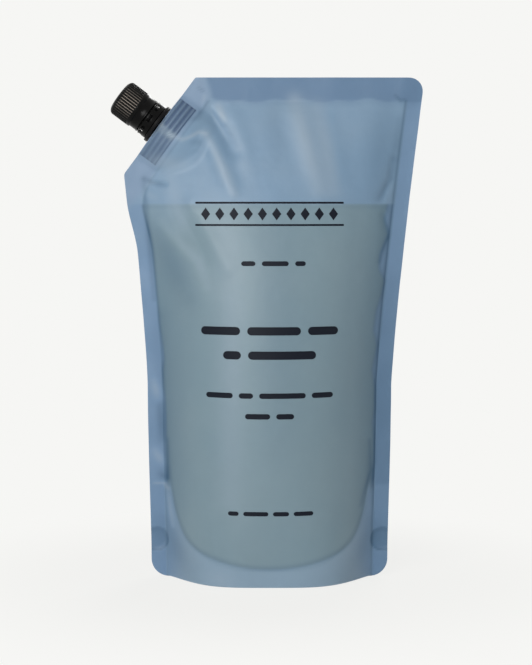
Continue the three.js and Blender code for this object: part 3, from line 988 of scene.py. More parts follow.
def rounded(corners: list[Pair], radius: float, steps: int) -> list[Pair]:
    """Rounds the inner corners of an open profile.

    Args:
        corners: the profile's corners.
        radius: how far along each side a corner is cut, where the sides are long enough.
        steps: points in each rounding.

    Returns:
        The profile with its corners rounded.
    """
    points = [Vector(corner) for corner in corners]
    made: list[Pair] = [tuple(points[0])]
    for before, corner, after in zip(points, points[1:], points[2:]):
        reach = min(radius, (before - corner).length * 0.45, (after - corner).length * 0.45)
        start = corner + (before - corner).normalized() * reach
        end = corner + (after - corner).normalized() * reach
        for step in range(steps + 1):
            share = step / steps
            made.append(tuple(start.lerp(corner, share).lerp(corner.lerp(end, share), share)))
    return [*made, tuple(points[-1])]


def finish_piece(piece: Solid, material: Material, body: Body, slot: Slot, *nodes: str) -> None:
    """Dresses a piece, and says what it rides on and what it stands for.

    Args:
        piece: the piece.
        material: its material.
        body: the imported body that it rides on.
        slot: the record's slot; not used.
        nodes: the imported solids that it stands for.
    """
    piece.data.materials.clear()
    piece.data.materials.append(material)
    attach(piece, body.value)
    if nodes:
        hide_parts(*nodes)
    LOG.info("%s: %d faces, rides on %s", piece.name, len(piece.data.polygons), body.value)


@dataclass(frozen=True)
class FilmFinish:
    """Frosted blue laminate, tinted by what lies behind it, with painted shade and painted highlights over its
    flanks, seal edges, folds and the boat's ribs. Colours are display values.
    """

    shape: PouchShape
    sizes: SpoutSizes
    empty: Rgb = (139, 166, 190)
    empty_cool: Rgb = (127, 158, 187)
    filled: Rgb = (138, 161, 172)
    filled_deep: Rgb = (127, 152, 165)
    # Painted shade: the filled film darkens on its flanks toward the seals.
    flank_shade: Rgb = (106, 134, 151)
    skirt: Rgb = (146, 171, 191)
    weld: Rgb = (106, 136, 168)
    side_weld: Rgb = (122, 152, 184)
    spout_weld: Rgb = (134, 159, 187)
    boat: Rgb = (102, 125, 151)
    boat_middle: Rgb = (126, 146, 158)
    groove_shade: Rgb = (60, 84, 118)
    # Painted shade colour for seal edges, fold streaks and the right side, also used for darker weld lines and
    # half-moons.
    painted_shade_and_dark_lines: Rgb = (62, 96, 124)
    # Painted highlight colour along ridges and sheen bands.
    painted_highlight: Rgb = (166, 184, 200)
    roughness: float = 0.42
    shine: float = 0.4
    grain: float = 0.02
    sag: float = 0.22
    rib_relief: float = -0.5

    def ribs(self, graph: ShaderGraph) -> tuple[Value, ...]:
        """How the boat in the weld shows through the film, with painted shade in the grooves between its ribs
        and round its outline.

        Args:
            graph: the film's graph.

        Returns:
            Shares for the boat, its middle, the painted shade in the grooves between its ribs, and the painted
            shade round its outline.
        """
        sizes = self.sizes
        x, _, z = graph.position()
        inward, along = self.shape.from_cut(x / MM, z / MM)
        deep, half = sizes.boat_sink + sizes.boat_height, self.shape.boat_length / 2.0
        within = inward.step(0.2, 0.8) * inward.step(deep + 0.5, deep)
        beside = abs(along).step(half + 0.3, half - 0.2)
        boat = within * beside
        grooves = 0.5 - (inward - deep + sizes.rib_pitch / 2.0).wave(2.0 * sizes.rib_pitch) * 0.5
        middle = abs(along + 0.5).step(4.2, 1.2) * boat
        outline = abs(inward - deep).step(1.1, 0.1) * beside + abs(abs(along) - half).step(0.7, 0.1) * within
        # The painted shade is weaker on the boat's lower half.
        side = along.step(-3.0, 3.0) * 0.45 + 0.55
        return boat, middle, boat * grooves * (1.0 - middle * 0.8) * side, outline.clamped() * side

    def material(self, name: str, spout_shows: bool) -> Material:
        """Makes the film's material.

        Args:
            name: the material's name.
            spout_shows: whether the boat shows through this film.

        Returns:
            The material, which reads the masks that the panels hold.
        """
        made, graph = new_material(name)
        cloud, mottle = graph.noise(24.0, 2.0), graph.noise(160.0, 4.0)
        share = (cloud * 0.8 + 0.5).clamped()
        empty = graph.mix(share, linear(self.empty), linear(self.empty_cool))
        filled = graph.mix(share, linear(self.filled), linear(self.filled_deep))
        filled = graph.mix(graph.mask("flank_shade"), filled, linear(self.flank_shade))
        colour = graph.mix(graph.mask("filled"), empty, filled)
        normal = graph.bump(graph.noise(2600.0, 2.0), self.grain * MM)
        normal = graph.bump(graph.noise(70.0, 2.0), self.sag * MM, Normal=normal)
        layers = [
            (graph.mask("skirt"), self.skirt),
            (graph.mask("side_weld"), self.side_weld),
            (graph.mask("top_weld"), self.weld),
            (graph.mask("spout_weld"), self.spout_weld),
        ]
        if spout_shows:
            boat, middle, grooves, outline = self.ribs(graph)
            layers += [(boat * 0.8, self.boat), (middle * 0.3, self.boat_middle)]
            # Painted shade in the rib grooves and round the boat's outline, over the dark boat showing
            # through.
            layers.append((grooves * 0.8 + outline * 0.35, self.groove_shade))
            normal = graph.bump(grooves, self.rib_relief * MM, Normal=normal)
        # Painted shade and painted highlights from the panels' masks.
        layers += [(graph.mask("painted_shade_and_dark_lines"), self.painted_shade_and_dark_lines), (graph.mask("painted_highlight"), self.painted_highlight)]
        for shown, tint in layers:
            colour = graph.mix(shown, colour, linear(tint))
        colour = graph.toned(colour, cloud * 0.03 + mottle * 0.02 + 1.0)
        rough = mottle * 0.04 + graph.mask("side_weld") * 0.05 + self.roughness
        sockets = {"Base Color": colour, "Roughness": rough, "Normal": normal}
        graph.surface({"Specular IOR Level": self.shine}, sockets)
        return made


@dataclass(frozen=True)
class InkFinish:
    """Matt dark ink printed on the film."""

    colour: Rgb = (16, 22, 34)
    roughness: float = 0.5
    shine: float = 0.15

    def material(self) -> Material:
        """Makes the ink's material.

        Returns:
            The material.
        """
        made, graph = new_material("ink")
        speck = graph.noise(900.0, 2.0)
        colour = graph.toned(linear(self.colour), speck * 0.06 + 1.0)
        sockets = {"Base Color": colour, "Roughness": speck * 0.05 + self.roughness}
        graph.surface({"Specular IOR Level": self.shine}, sockets)
        return made


@dataclass(frozen=True)
class MouldedFinish:
    """Black moulded plastic, with fine flow marks and a slightly uneven gloss, and a painted sheen and
    highlight on knurls.
    """

    name: str
    colour: Rgb
    roughness: float
    grain: float
    # Painted sheen along knurl tops.
    crest: Rgb = (8, 8, 8)
    # Painted highlight on the knurl tops that face the viewer.
    painted_glint: Rgb = (8, 8, 8)
    shine: float = 0.1
    glint_falloff: float = 9.0

    def material(self) -> Material:
        """Makes the plastic's material. Knurls that hold a crest mask are paler along their tops, a painted
        sheen, and carry a painted highlight where they face the viewer.

        Returns:
            The material.
        """
        made, graph = new_material(self.name)
        flow, fine = graph.noise(220.0, 3.0), graph.noise(3200.0, 2.0)
        facing = Value(graph, graph.node("ShaderNodeLayerWeight", None, {"Blend": 0.5}).outputs["Facing"])
        top = graph.mask("crest")
        # Painted highlight: knurl tops that face the viewer are lightened.
        lit = top * top * top * (1.0 - facing * self.glint_falloff).clamped()
        colour = graph.mix(top, linear(self.colour), linear(self.crest))
        colour = graph.toned(graph.mix(lit, colour, linear(self.painted_glint)), flow * 0.15 + 1.0)
        rough = flow * 0.06 + fine * 0.03 + self.roughness
        sockets = {"Base Color": colour, "Roughness": rough, "Normal": graph.bump(fine, self.grain * MM)}
        graph.surface({"Specular IOR Level": self.shine}, sockets)
        return made


@dataclass(frozen=True)
class SoapFinish:
    """Thick amber liquid soap with small bubbles under its surface."""

    colour: Rgb = (162, 150, 116)
    bubble: Rgb = (196, 186, 152)
    roughness: float = 0.12
    refraction: float = 1.38
    relief: float = 0.05

    def material(self) -> Material:
        """Makes the soap's material.

        Returns:
            The material.
        """
        made, graph = new_material("liquid_soap")
        bubbles, swirl = graph.noise(420.0, 3.0).step(0.35, 0.6), graph.noise(45.0, 2.0)
        colour = graph.mix(bubbles * 0.6, linear(self.colour), linear(self.bubble))
        sockets = {"Base Color": colour, "Roughness": swirl * 0.04 + self.roughness}
        graph.surface({"IOR": self.refraction}, {**sockets, "Normal": graph.bump(bubbles, self.relief * MM)})
        return made


@dataclass
class PackPiece:
    """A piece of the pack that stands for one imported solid."""

    rides = Body.POUCH
    slot = Slot.FILM
    shape: PouchShape
    replaced: str
    piece: Solid | None = field(default=None, init=False)

    def dress(self, material: Material) -> None:
        """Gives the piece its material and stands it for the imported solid."""
        finish_piece(self.piece, material, self.rides, self.slot, self.replaced)


@dataclass
class FilmPanel(PackPiece):
    """One face of the pouch, from its outer edges to the folds over the filling."""

    side: Side
    folded: tuple[Fold, ...]
    painted_streaks: tuple[Fold, ...]
    row_count: int
    column_counts: tuple[int, int, int]
    packed_gap: float = 0.35
    probe: float = 0.5

    def depth(self, x: Array, z: Array) -> Array:
        """How far the inner face stands from the middle plane, never inside the filling.

        Args:
            x: across the pouch.
            z: up the pouch.

        Returns:
            The distance at each point.
        """
        free = self.shape.inner_depth(x, z, self.folded)
        packed = self.shape.inner_depth(x, z, PACKED_FOLDS) - self.packed_gap
        return np.where(z < self.shape.fill_height + 1.5, np.maximum(free, packed), free)

    def faces(self, x: Array, z: Array) -> tuple[Array, Array]:
        """Points on the outer and the inner face over each x and z.

        Args:
            x: across the pouch.
            z: up the pouch.

        Returns:
            The outer and the inner points.
        """
        shape, step = self.shape, self.probe
        depth = self.depth(x, z)
        slope_x = (self.depth(x + step, z) - self.depth(x - step, z)) / 2 / step
        above = np.minimum(z + step, shape.pack_height)
        below = np.maximum(z - step, 0.0)
        slope_z = (self.depth(x, above) - self.depth(x, below)) / (above - below)
        steep = np.minimum(np.sqrt(1.0 + slope_x**2 + slope_z**2), 2.0)
        lean = shape.lean(x, z)
        outer = self.side.value * (depth + shape.film_thickness * steep) + lean
        inner = self.side.value * depth + lean
        return np.stack([x, outer, z], axis=-1), np.stack([x, inner, z], axis=-1)

    def build(self) -> FilmPanel:
        """Builds the panel's mesh and its masks.

        Returns:
            The panel.
        """
        shape = self.shape
        heights, places = shape.rows(self.row_count), shape.stations(*self.column_counts)
        z, station = np.meshgrid(heights, places, indexing="ij")
        x = shape.column_x(station, z)
        self.piece = closed_sheet(f"film_{self.side.name.lower()}", *self.faces(x, z))
        for key, values in self.masks(x, z, station).items():
            hold(self.piece, key, np.tile(values.ravel(), 2))
        return self

    def strokes(self, x: Array, z: Array) -> tuple[Array, Array]:
        """The painted shade and painted highlight streaks' shares at each point."""
        tone = sum((streak.relief(x, z) for streak in self.painted_streaks), np.zeros(x.shape))
        return np.maximum(tone, 0.0), np.maximum(-tone, 0.0)

    def past_wet_edge(self, x: Array, z: Array) -> Array:
        """How far each point is inside the uneven line at which the filling lifts the film off its weld.

        Args:
            x: across the pouch.
            z: up the pouch.

        Returns:
            The distance at each point.
        """
        left, right = (np.interp(z, *zip(*edge)) for edge in (WET_EDGE_LEFT, WET_EDGE_RIGHT))
        from_left = x - self.shape.seal_edge(-1, z) - left
        from_right = self.shape.seal_edge(1, z) - x - right
        return np.minimum(from_left, from_right)

    def top_weld(self, x: Array, z: Array) -> Array:
        """The share of the weld along the top, whose lower edge is uneven.

        Args:
            x: across the pouch.
            z: up the pouch.

        Returns:
            The share at each point.
        """
        above = z - self.shape.seal_line - ripple(x, (0.7, 7.0, 0.0), (0.5, 2.9, 1.0))
        share = lerp(smoothstep(-5.0, 0.5, above), smoothstep(-0.7, 0.7, above), 0.6)
        return share * smoothstep(-2.5, 2.5, x + 37.0 - 0.35 * (self.shape.pack_height - z))

    def masks(self, x: Array, z: Array, station: Array) -> dict[str, Array]:
        """What lies behind the film at each point of the grid, and where shade and highlights are painted on
        it, as shares from 0 to 1.

        Args:
            x: across the pouch.
            z: up the pouch.
            station: the columns' places.

        Returns:
            Each mask by its name.
        """
        shape, edge, on_right = self.shape, np.abs(station), x > 0
        inside, full = self.past_wet_edge(x, z), shape.above_skirt(x, z)
        skirt = smoothstep(0.9, -0.9, full)
        below = smoothstep(0.5, -0.5, z - shape.fill_height)
        wet = below * smoothstep(-0.5, 0.9, inside)
        body = below * (1.0 - skirt)
        lifted = smoothstep(0.3, -0.7, inside) * body
        on_panel = smoothstep(1.0, 0.97, edge)
        # Dark lines: painted shade along the seals' inner edges and where the filling lifts the film off its
        # weld, deeper on the right; darker lines at the fill level, along the foot's pressed edge and along
        # the gusset's seam. Each line's strength, the distance from it, its width and where it shows
        lines = (
            (np.where(on_right, 0.5, 0.2), edge - 0.99, 0.014, z < shape.seal_line),
            (0.12, z - shape.fill_height + 1.2, 1.4, wet),
            (0.25, full - 0.8, 1.6, on_panel),
            (0.08, z - shape.seam_height(x), 0.9, on_panel),
            (np.where(on_right, 0.42, 0.3), inside - 0.1, 0.8, body),
        )
        painted_shade_and_dark_lines = sum(strength * bell(away, width) * shown for strength, away, width, shown in lines)
        # Painted shade: the right seal grows darker downward, and the film is darker on the right where it
        # lifts off its weld.
        low_right = 0.5 * smoothstep(250.0, 90.0, z) * smoothstep(0.99, 1.02, station)
        low_right = low_right * lerp(0.6, 1.0, smoothstep(52.0, 54.5, z))
        lifted_right = 0.26 * lifted * smoothstep(1.0, 0.99, station) * on_right
        moon = shape.punched(x, z, 0.5, 0.5)
        moon_edge = moon * (1.0 - shape.punched(x, z - 0.7, 1.2, 1.2))
        # Painted shade and painted highlights from the streaks.
        dark, light = self.strokes(x, z)
        weld_start = smoothstep(shape.cut_low[1] + 4.0, shape.cut_low[1] - 55.0, z)
        side = smoothstep(0.99, 1.02, edge) * np.where(station < 0, weld_start, 1.0)
        side = np.maximum(side, np.maximum(0.75 * lifted, 0.65 * smoothstep(44.0, 58.0, np.abs(x)) * skirt))
        top = self.top_weld(x, z)
        spout = smoothstep(shape.spout_seal + 3.0, shape.spout_seal - 3.0, shape.from_cut(x, z)[0])
        thin = 0.4 * smoothstep(188.0, 214.0, z) * smoothstep(-34.0, -60.0, x)
        made = {
            "filled": wet * (1.0 - thin) * (1.0 - skirt),
            # Painted shade on the flanks toward the seals, weaker high on the spout's side.
            "flank_shade": smoothstep(0.72, 1.0, edge) * np.where(x < 0, 0.6 * smoothstep(205.0, 150.0, z), 1.0),
            "skirt": skirt * smoothstep(1.02, 0.99, edge),
            "side_weld": side,
            "top_weld": top,
            "spout_weld": spout * (1.0 - top),
            "painted_shade_and_dark_lines": painted_shade_and_dark_lines + low_right + lifted_right + 0.28 * moon + 0.3 * moon_edge + dark,
            "painted_highlight": light,
        }
        return {name: np.clip(values, 0.0, 1.0) for name, values in made.items()}


@dataclass
class FootGusset(PackPiece):
    """The folded film that closes the foot: a welded skirt round a floor pressed flat by the filling."""

    skirt_rows: int = 16
    floor_rows: int = 28
    columns: tuple[int, int, int] = (110, 9, 9)
    rim_inset: float = 0.008
    notch_start: float = 57.0
    notch_margin: float = 1.01
    row_crowding: float = 1.6
    floor_crowding: float = 1.3
    floor_power: float = 2.2
    least_step: float = 0.002

    @property
    def reach(self) -> float:
        """The place of the sheet's last column, just inside the panels' edge."""
        return self.shape.outer_station - self.rim_inset

    def levels(self) -> Array:
        """Shares of the skirt's height for its rows, closer together across the half-moons.

        Returns:
            The shares, upward.
        """
        shape = self.shape
        even = np.linspace(0.0, 1.0, self.skirt_rows, endpoint=False) ** self.row_crowding
        arc = -np.cos(np.radians(np.arange(0.0, 181.0, 7.5)))
        arc = np.concatenate([[-self.notch_margin], arc, [self.notch_margin]])
        moon = shape.punch_height + shape.punch_radius * arc
        return np.unique(np.round(np.concatenate([even, moon / shape.gusset_height]), 6))

    def notched(self, x: Array, z: Array) -> Array:
        """Draws the sheet's sides in round the half-moons that are punched out of it.

        Args:
            x: across the pouch.
            z: up the pouch.

        Returns:
            The new x of each point.
        """
        shape, start = self.shape, self.notch_start
        rise = np.minimum(np.abs(z - shape.punch_height) / shape.punch_radius, 1.0)
        rim = shape.foot_half_width - shape.punch_inset - shape.punch_radius * np.sqrt(1.0 - rise**2)
        edge = np.abs(shape.column_x(np.sign(x) * self.reach, z))
        squeeze = np.where(rise < 1.0, (rim - start) / (edge - start), 1.0)
        return np.sign(x) * np.where(np.abs(x) > start, start + (np.abs(x) - start) * squeeze, np.abs(x))

    def skirt_distance(self, x: Array, z: Array) -> Array:
        """How far the skirt's outer side stands from the middle plane.

        Args:
            x: across the pouch.
            z: up the pouch.

        Returns:
            The distance at each point.
        """
        shape = self.shape
        depth = shape.inner_depth(x, z, ()) + shape.weld_dip(x, z)
        layers = shape.gusset_gap * 2.0 + shape.film_thickness
        return depth - shape.gusset_gap * (1.0 + np.clip((depth - layers) / 6.0, 0.0, 1.0))

    def profile(self) -> Array:
        """The sheet's top side, from the skirt's foot to the middle plane.

        Returns:
            Columns by points.
        """
        shape = self.shape
        stations = np.clip(shape.stations(*self.columns), -self.reach, self.reach)
        seam_z = np.full(stations.shape, shape.foot_seal)
        for _ in range(12):
            seam_z = shape.seam_height(shape.column_x(stations, seam_z))
        z = self.levels()[None, :] * seam_z[:, None]
        x = self.notched(shape.column_x(np.broadcast_to(stations[:, None], z.shape), z), z)
        skirt = np.stack([x, -self.skirt_distance(x, z), z], axis=-1)
        seam_x = shape.column_x(stations, seam_z)
        seam_y = self.skirt_distance(seam_x, seam_z)
        shares = 1.0 - np.linspace(0.0, 1.0, self.floor_rows) ** self.floor_crowding
        distance = seam_y[:, None] * shares[None, :]
        floor_z = self.floor_top(seam_x[:, None], distance, seam_y[:, None])
        floor = np.stack([np.broadcast_to(seam_x[:, None], distance.shape), -distance, floor_z], axis=-1)
        return np.concatenate([skirt, floor], axis=1)

    def floor_top(self, x: Array, distance: Array, seam: Array) -> Array:
        """The height of the floor's top side.

        Args:
            x: across the pouch.
            distance: how far each point is from the middle plane.
            seam: how far the seam is from it.

        Returns:
            The height at each point.
        """
        shape, film = self.shape, self.shape.film_thickness
        flat = min(shape.flat_half_depth / shape.foot_depth, 0.8) * seam
        share = np.clip((distance - flat) / (seam - flat), 0.0, 1.0)
        end = shape.foot_half_width - shape.side_seal - 1.0
        ridge = (shape.gusset_height - film) * smoothstep(shape.flat_half_length, end, np.abs(x))
        return film + lerp(ridge, shape.seam_height(x) - film, share**self.floor_power)

    def underside(self, top: Array) -> Array:
        """The same columns, one film thickness inside, each point nearer the middle than the last.

        Args:
            top: the top side's columns by points.

        Returns:
            The lower side's.
        """
        forward = np.diff(top, axis=1)
        normal = np.stack([forward[..., 2], -forward[..., 1]], axis=-1)
        normal /= np.linalg.norm(normal, axis=-1, keepdims=True)
        normal[:, : -self.floor_rows] = (1.0, 0.0)
        mean = np.concatenate([normal[:, :1], normal], axis=1)
        mean += np.concatenate([normal, normal[:, -1:]], axis=1)
        mean *= self.shape.film_thickness / np.linalg.norm(mean, axis=-1, keepdims=True)
        under = top.copy()
        under[..., 1] += mean[..., 0]
        under[..., 2] = np.maximum(under[..., 2] + mean[..., 1], 0.0)
        under[:, -1, 1] = 0.0
        for index in range(top.shape[1] - self.floor_rows + 1, top.shape[1]):
            under[:, index, 1] = np.clip(under[:, index, 1], under[:, index - 1, 1] + self.least_step, 0.0)
        under[:, -1, 1] = 0.0
        return under

    @staticmethod
    def mirrored(columns: Array) -> Array:
        """The columns carried on to the other side of the middle plane."""
        back = columns[:, -2::-1] * np.array([1.0, -1.0, 1.0])
        return np.concatenate([columns, back], axis=1)

    def build(self) -> FootGusset:
        """Builds the gusset with its two punched half-moons.

        Returns:
            The gusset.
        """
        top = self.profile()
        self.piece = closed_sheet("film_gusset", self.mirrored(top), self.mirrored(self.underside(top)))
        return self


@dataclass(frozen=True)
class Mark:
    """One plain printed shape: a bar, a disc or a lozenge, by its middle and half sizes."""

    x: float
    z: float
    half_width: float
    half_height: float
    pointed: bool = False

    def outline(self, share: Array) -> Array:
        """The mark's half height at shares -1 to 1 of its half width."""
        if self.pointed:
            return self.half_height * (1.0 - np.abs(share))
        end = min(self.half_height, self.half_width)
        into = np.clip((np.abs(share) * self.half_width - (self.half_width - end)) / end, 0.0, 1.0)
        return self.half_height * np.sqrt(1.0 - into**2)


# Lines of bars: height, half the bars' height, their lengths, the line's middle and the gap between bars
PRINT_LINES = (
    (181.0, 1.35, (8.0, 15.0, 6.0), 2.2, 3.6),
    (143.5, 2.3, (22.0, 30.0, 17.0), 0.0, 4.0),
    (130.0, 2.3, (10.0, 38.0), 0.0, 4.0),
    (107.5, 1.5, (15.0, 8.0, 26.0, 12.0), 0.0, 3.4),
    (96.0, 1.5, (14.0, 10.0), 0.0, 3.4),
    (41.5, 1.2, (6.0, 14.0, 9.0, 11.0), 0.6, 2.6),
)


@dataclass
class PrintedFace:
    """Plain dark marks where such a pouch carries its print, laid on the front film."""

    panel: FilmPanel
    lift: float = 0.05
    sunk: float = 0.08
    piece: Solid | None = None

    def marks(self) -> list[Mark]:
        """The marks: a bordered row of lozenges, then lines of bars.

        Returns:
            The marks, downward.
        """
        made = [Mark(0.0, z, 42.0, 0.55) for z in (215.0, 202.5)]
        made += [Mark(-36.0 + 8.0 * place, 208.7, 2.6, 3.6, pointed=True) for place in range(10)]
        for z, half_height, lengths, middle, gap in PRINT_LINES:
            start = middle - (sum(lengths) + gap * (len(lengths) - 1)) / 2.0
            for length in lengths:
                made.append(Mark(start + length / 2.0, z, length / 2.0, half_height))
                start += length + gap
        return made

    def plate(self, mark: Mark) -> Solid:
        """One mark as a thin closed plate that follows the film.

        Args:
            mark: the mark.

        Returns:
            The plate.
        """
        columns = max(9, int(mark.half_width * 2.4) | 1)
        share = np.cos(np.linspace(math.pi, 0.0, columns)) * 0.998
        x = mark.x + np.broadcast_to((share * mark.half_width)[:, None], (columns, 5))
        z = mark.z + mark.outline(share)[:, None] * np.linspace(-1.0, 1.0, 5)[None, :]
        face, _ = self.panel.faces(x, z)
        out = np.array([0.0, -1.0, 0.0])
        return closed_sheet("mark", face + out * self.lift, face - out * self.sunk)

    def build(self) -> PrintedFace:
        """Builds the marks as one piece.

        Returns:
            The printed face.
        """
        mesh = bpy.data.meshes.new("printed_marks")
        with editing(mesh) as work:
            for plate in map(self.plate, self.marks()):
                work.from_mesh(plate.data)
                bpy.data.objects.remove(plate)
        self.piece = add_object("printed_marks", mesh)
        smooth(self.piece)
        return self

    def dress(self, material: Material) -> None:
        """Inks the marks."""
        finish_piece(self.piece, material, Body.POUCH, Slot.FILM)


@dataclass
class SpoutPiece(PackPiece):
    """A piece of the spout, made about its own axis, outward from the cut edge."""

    sizes: SpoutSizes

    def stand(self, crease_degrees: float) -> None:
        """Stands the piece square on the cut edge and shades it."""
        self.piece.data.transform(self.sizes.place(self.shape))
        smooth(self.piece, crease_degrees)


@dataclass
class Spout(SpoutPiece):
    """The moulded fitment: ribbed boat in the weld, flange, neck, bead and thread."""

    slot = Slot.FITMENT
    around: int = 96
    rib_edge: float = 0.12

    def boat(self) -> Solid:
        """The boat-shaped base with its welding ribs.

        Returns:
            The base.
        """
        sizes, shape = self.sizes, self.shape
        angles = np.linspace(0.0, TURN, 72, endpoint=False)
        side = np.sign(np.round(np.sin(angles), 6))
        rings = []
        for layer in range(2 * sizes.rib_count - 1):
            proud = shape.rib_proud if layer % 2 == 0 else 0.0
            low = -sizes.boat_sink - sizes.boat_height + layer * sizes.rib_pitch
            for z in (low + self.rib_edge, low + sizes.rib_pitch - self.rib_edge):
                along = np.cos(angles) * (shape.boat_length / 2 + proud - shape.rib_proud)
                half = shape.boat_half(np.cos(angles) * shape.boat_length / 2) + proud
                rings.append(np.stack([along, side * half, np.full(72, z)], -1))
        made = np.array(rings)
        return lofted("boat", made, (float(made[0, 0, 2]), float(made[-1, 0, 2])))

    def neck(self) -> Solid:
        """The turned flange, neck and retaining bead.

        Returns:
            The neck.
        """
        sizes, film = self.sizes, self.shape.film_on_boat
        low = -sizes.boat_sink - sizes.boat_height / 2
        bead = sizes.neck_radius + sizes.bead_proud
        corners = [
            (0.0, low),
            (sizes.neck_radius - 2.0, low),
            (sizes.neck_radius - 1.4, -sizes.boat_sink),
            (sizes.neck_radius - 1.4, film),
            (sizes.flange_radius, film),
            (sizes.flange_radius, sizes.flange_thickness),
            (sizes.neck_radius, sizes.flange_thickness),
            (sizes.neck_radius, sizes.bead_start),
            (bead, sizes.bead_start),
            (bead, sizes.bead_start + sizes.bead_height / 3),
            (sizes.neck_radius, sizes.bead_start + sizes.bead_height),
            (sizes.neck_radius, sizes.neck_top),
            (0.0, sizes.neck_top),
        ]
        return turned("neck", rounded(corners, 0.35, 3), self.around)

    def thread(self) -> Solid:
        """One ridge wound up the neck, faded to nothing at both ends.

        Returns:
            The ridge.
        """
        sizes, per_turn = self.sizes, self.around // 2
        steps = round(sizes.thread_turns * per_turn)
        start = sizes.flange_thickness + sizes.ring_height + sizes.thread_rise
        root, crest = sizes.thread_lead * sizes.thread_root, sizes.thread_lead * sizes.thread_crest
        sunk = sizes.neck_radius - sizes.thread_sunk
        rings = []
        for step in range(steps + 1):
            angle = TURN * step / per_turn
            across, aside = math.cos(angle), math.sin(angle)
            rise = start + sizes.thread_lead * step / per_turn
            fade = float(smoothstep(0.0, 8.0, np.array(min(step, steps - step) + 0.8)))
            top = sizes.neck_radius + sizes.thread_proud * fade
            section = ((sunk, -root), (top, -crest), (top, crest), (sunk, root))
            rings.append([(radius * across, radius * aside, rise + z) for radius, z in section])
        number = np.arange(len(rings) * 4).reshape(-1, 4)
        lower, upper = number[:-1], number[1:]
        sides = np.stack([lower, np.roll(lower, -1, 1), np.roll(upper, -1, 1), upper], axis=-1)
        faces = [*sides.reshape(-1, 4).tolist(), number[0].tolist(), number[-1].tolist()]
        return make_object("thread", np.array(rings).reshape(-1, 3), faces)

    def build(self) -> Spout:
        """Joins the fitment's forms, bores it through and stands it on the cut edge.

        Returns:
            The spout.
        """
        sizes = self.sizes
        self.piece = self.boat()
        self.piece.name = "spout"
        bore = [(sizes.bore_radius, -20.0), (sizes.bore_radius, sizes.neck_top + 4.0)]
        combine(self.piece, self.neck(), "UNION")
        combine(self.piece, self.thread(), "UNION")
        combine(self.piece, turned("bore", bore, self.around), "DIFFERENCE")
        self.stand(30.0)
        return self


@dataclass
class ScrewCap(SpoutPiece):
    """The knurled cap, with its ridge, smooth waist, bore and sealing plug."""

    rides = Body.CAP
    slot = Slot.CAP
    per_knurl: int = 8

    def outside(self) -> list[Triple]:
        """The cap's outer form, from the middle of the top down to the open end.

        Returns:
            Radius, height and share of knurling at each level.
        """
        sizes = self.sizes
        top = sizes.cap_radius - sizes.knurl_depth
        ridge = sizes.cap_start + sizes.skirt_length
        knurl = ridge + sizes.ridge_length
        waist = sizes.cap_radius - sizes.waist_inset
        rounding = sizes.cap_top - sizes.cap_tip_radius
        flat = top - sizes.cap_tip_radius
        levels = [(share * flat, sizes.cap_top, 0.0) for share in (0.25, 0.5, 0.75, 0.92)]
        for degrees in np.arange(0.0, 91.0, 7.5):
            angle = math.radians(degrees)
            radius = top - sizes.cap_tip_radius * (1.0 - math.sin(angle))
            height = sizes.cap_top - sizes.cap_tip_radius * (1.0 - math.cos(angle))
            levels.append((radius, height, float(smoothstep(20.0, 70.0, np.array(degrees)))))
        levels += [(top, lerp(rounding, knurl + 0.5, share), 1.0) for share in (0.3, 0.6, 0.9, 1.0)]
        levels += [
            (top + 0.1, knurl + 0.25, 0.8),
            (sizes.cap_radius - 0.05, knurl + 0.05, 0.15),
            (sizes.cap_radius, knurl - 0.1, 0.0),
            (sizes.cap_radius, ridge + 0.25, 0.0),
            (sizes.cap_radius - 0.12, ridge + 0.06, 0.0),
            (waist + 0.15, ridge - 0.18, 0.0),
            (waist, ridge - 0.45, 0.0),
            (waist, sizes.cap_start + 1.0, 0.0),
            (waist + 0.25, sizes.cap_start + 0.7, 0.0),
            (waist + 0.3, sizes.cap_start + 0.2, 0.0),
            (waist + 0.1, sizes.cap_start, 0.0),
        ]
        return levels

    def inside(self) -> list[Triple]:
        """The same from the open end in to the middle of the roof.

        Returns:
            Radius, height and share of knurling at each level.
        """
        sizes = self.sizes
        roof = sizes.cap_top - sizes.cap_top_wall
        plug, tip = sizes.bore_radius - sizes.running_gap, roof - sizes.plug_length
        corners = [
            (sizes.cap_bore, sizes.cap_start),
            (sizes.cap_bore, roof - 1.0),
            (sizes.cap_bore - 1.0, roof),
            (plug, roof),
            (plug, tip + 0.5),
            (plug - 0.5, tip),
            (plug - sizes.plug_wall, tip),
            (plug - sizes.plug_wall, roof),
            (0.6, roof),
        ]
        return [(radius, height, 0.0) for radius, height in rounded(corners, 0.2, 2)]

    def build(self) -> ScrewCap:
        """Builds the cap with its knurls and stands it on the neck.

        Returns:
            The cap.
        """
        sizes = self.sizes
        around = sizes.knurl_count * self.per_knurl
        angles = np.linspace(0.0, TURN, around, endpoint=False)
        ridge = (0.5 + 0.5 * np.cos(angles * sizes.knurl_count)) ** 0.75
        rings = []
        crest = []
        for radius, height, share in [*self.outside(), *self.inside()]:
            reach = radius + sizes.knurl_depth * share * ridge
            level = [reach * np.cos(angles), reach * np.sin(angles), np.full(around, height)]
            rings.append(np.stack(level, axis=-1))
            crest.append(share * ridge**2)
        self.piece = lofted("cap", np.array(rings), (sizes.cap_top, sizes.cap_top - sizes.cap_top_wall))
        # The crest mask places the painted sheen and painted highlight on the knurl tops.
        hold(self.piece, "crest", np.concatenate([*crest, [0.0, 0.0]]))
        self.stand(50.0)
        return self


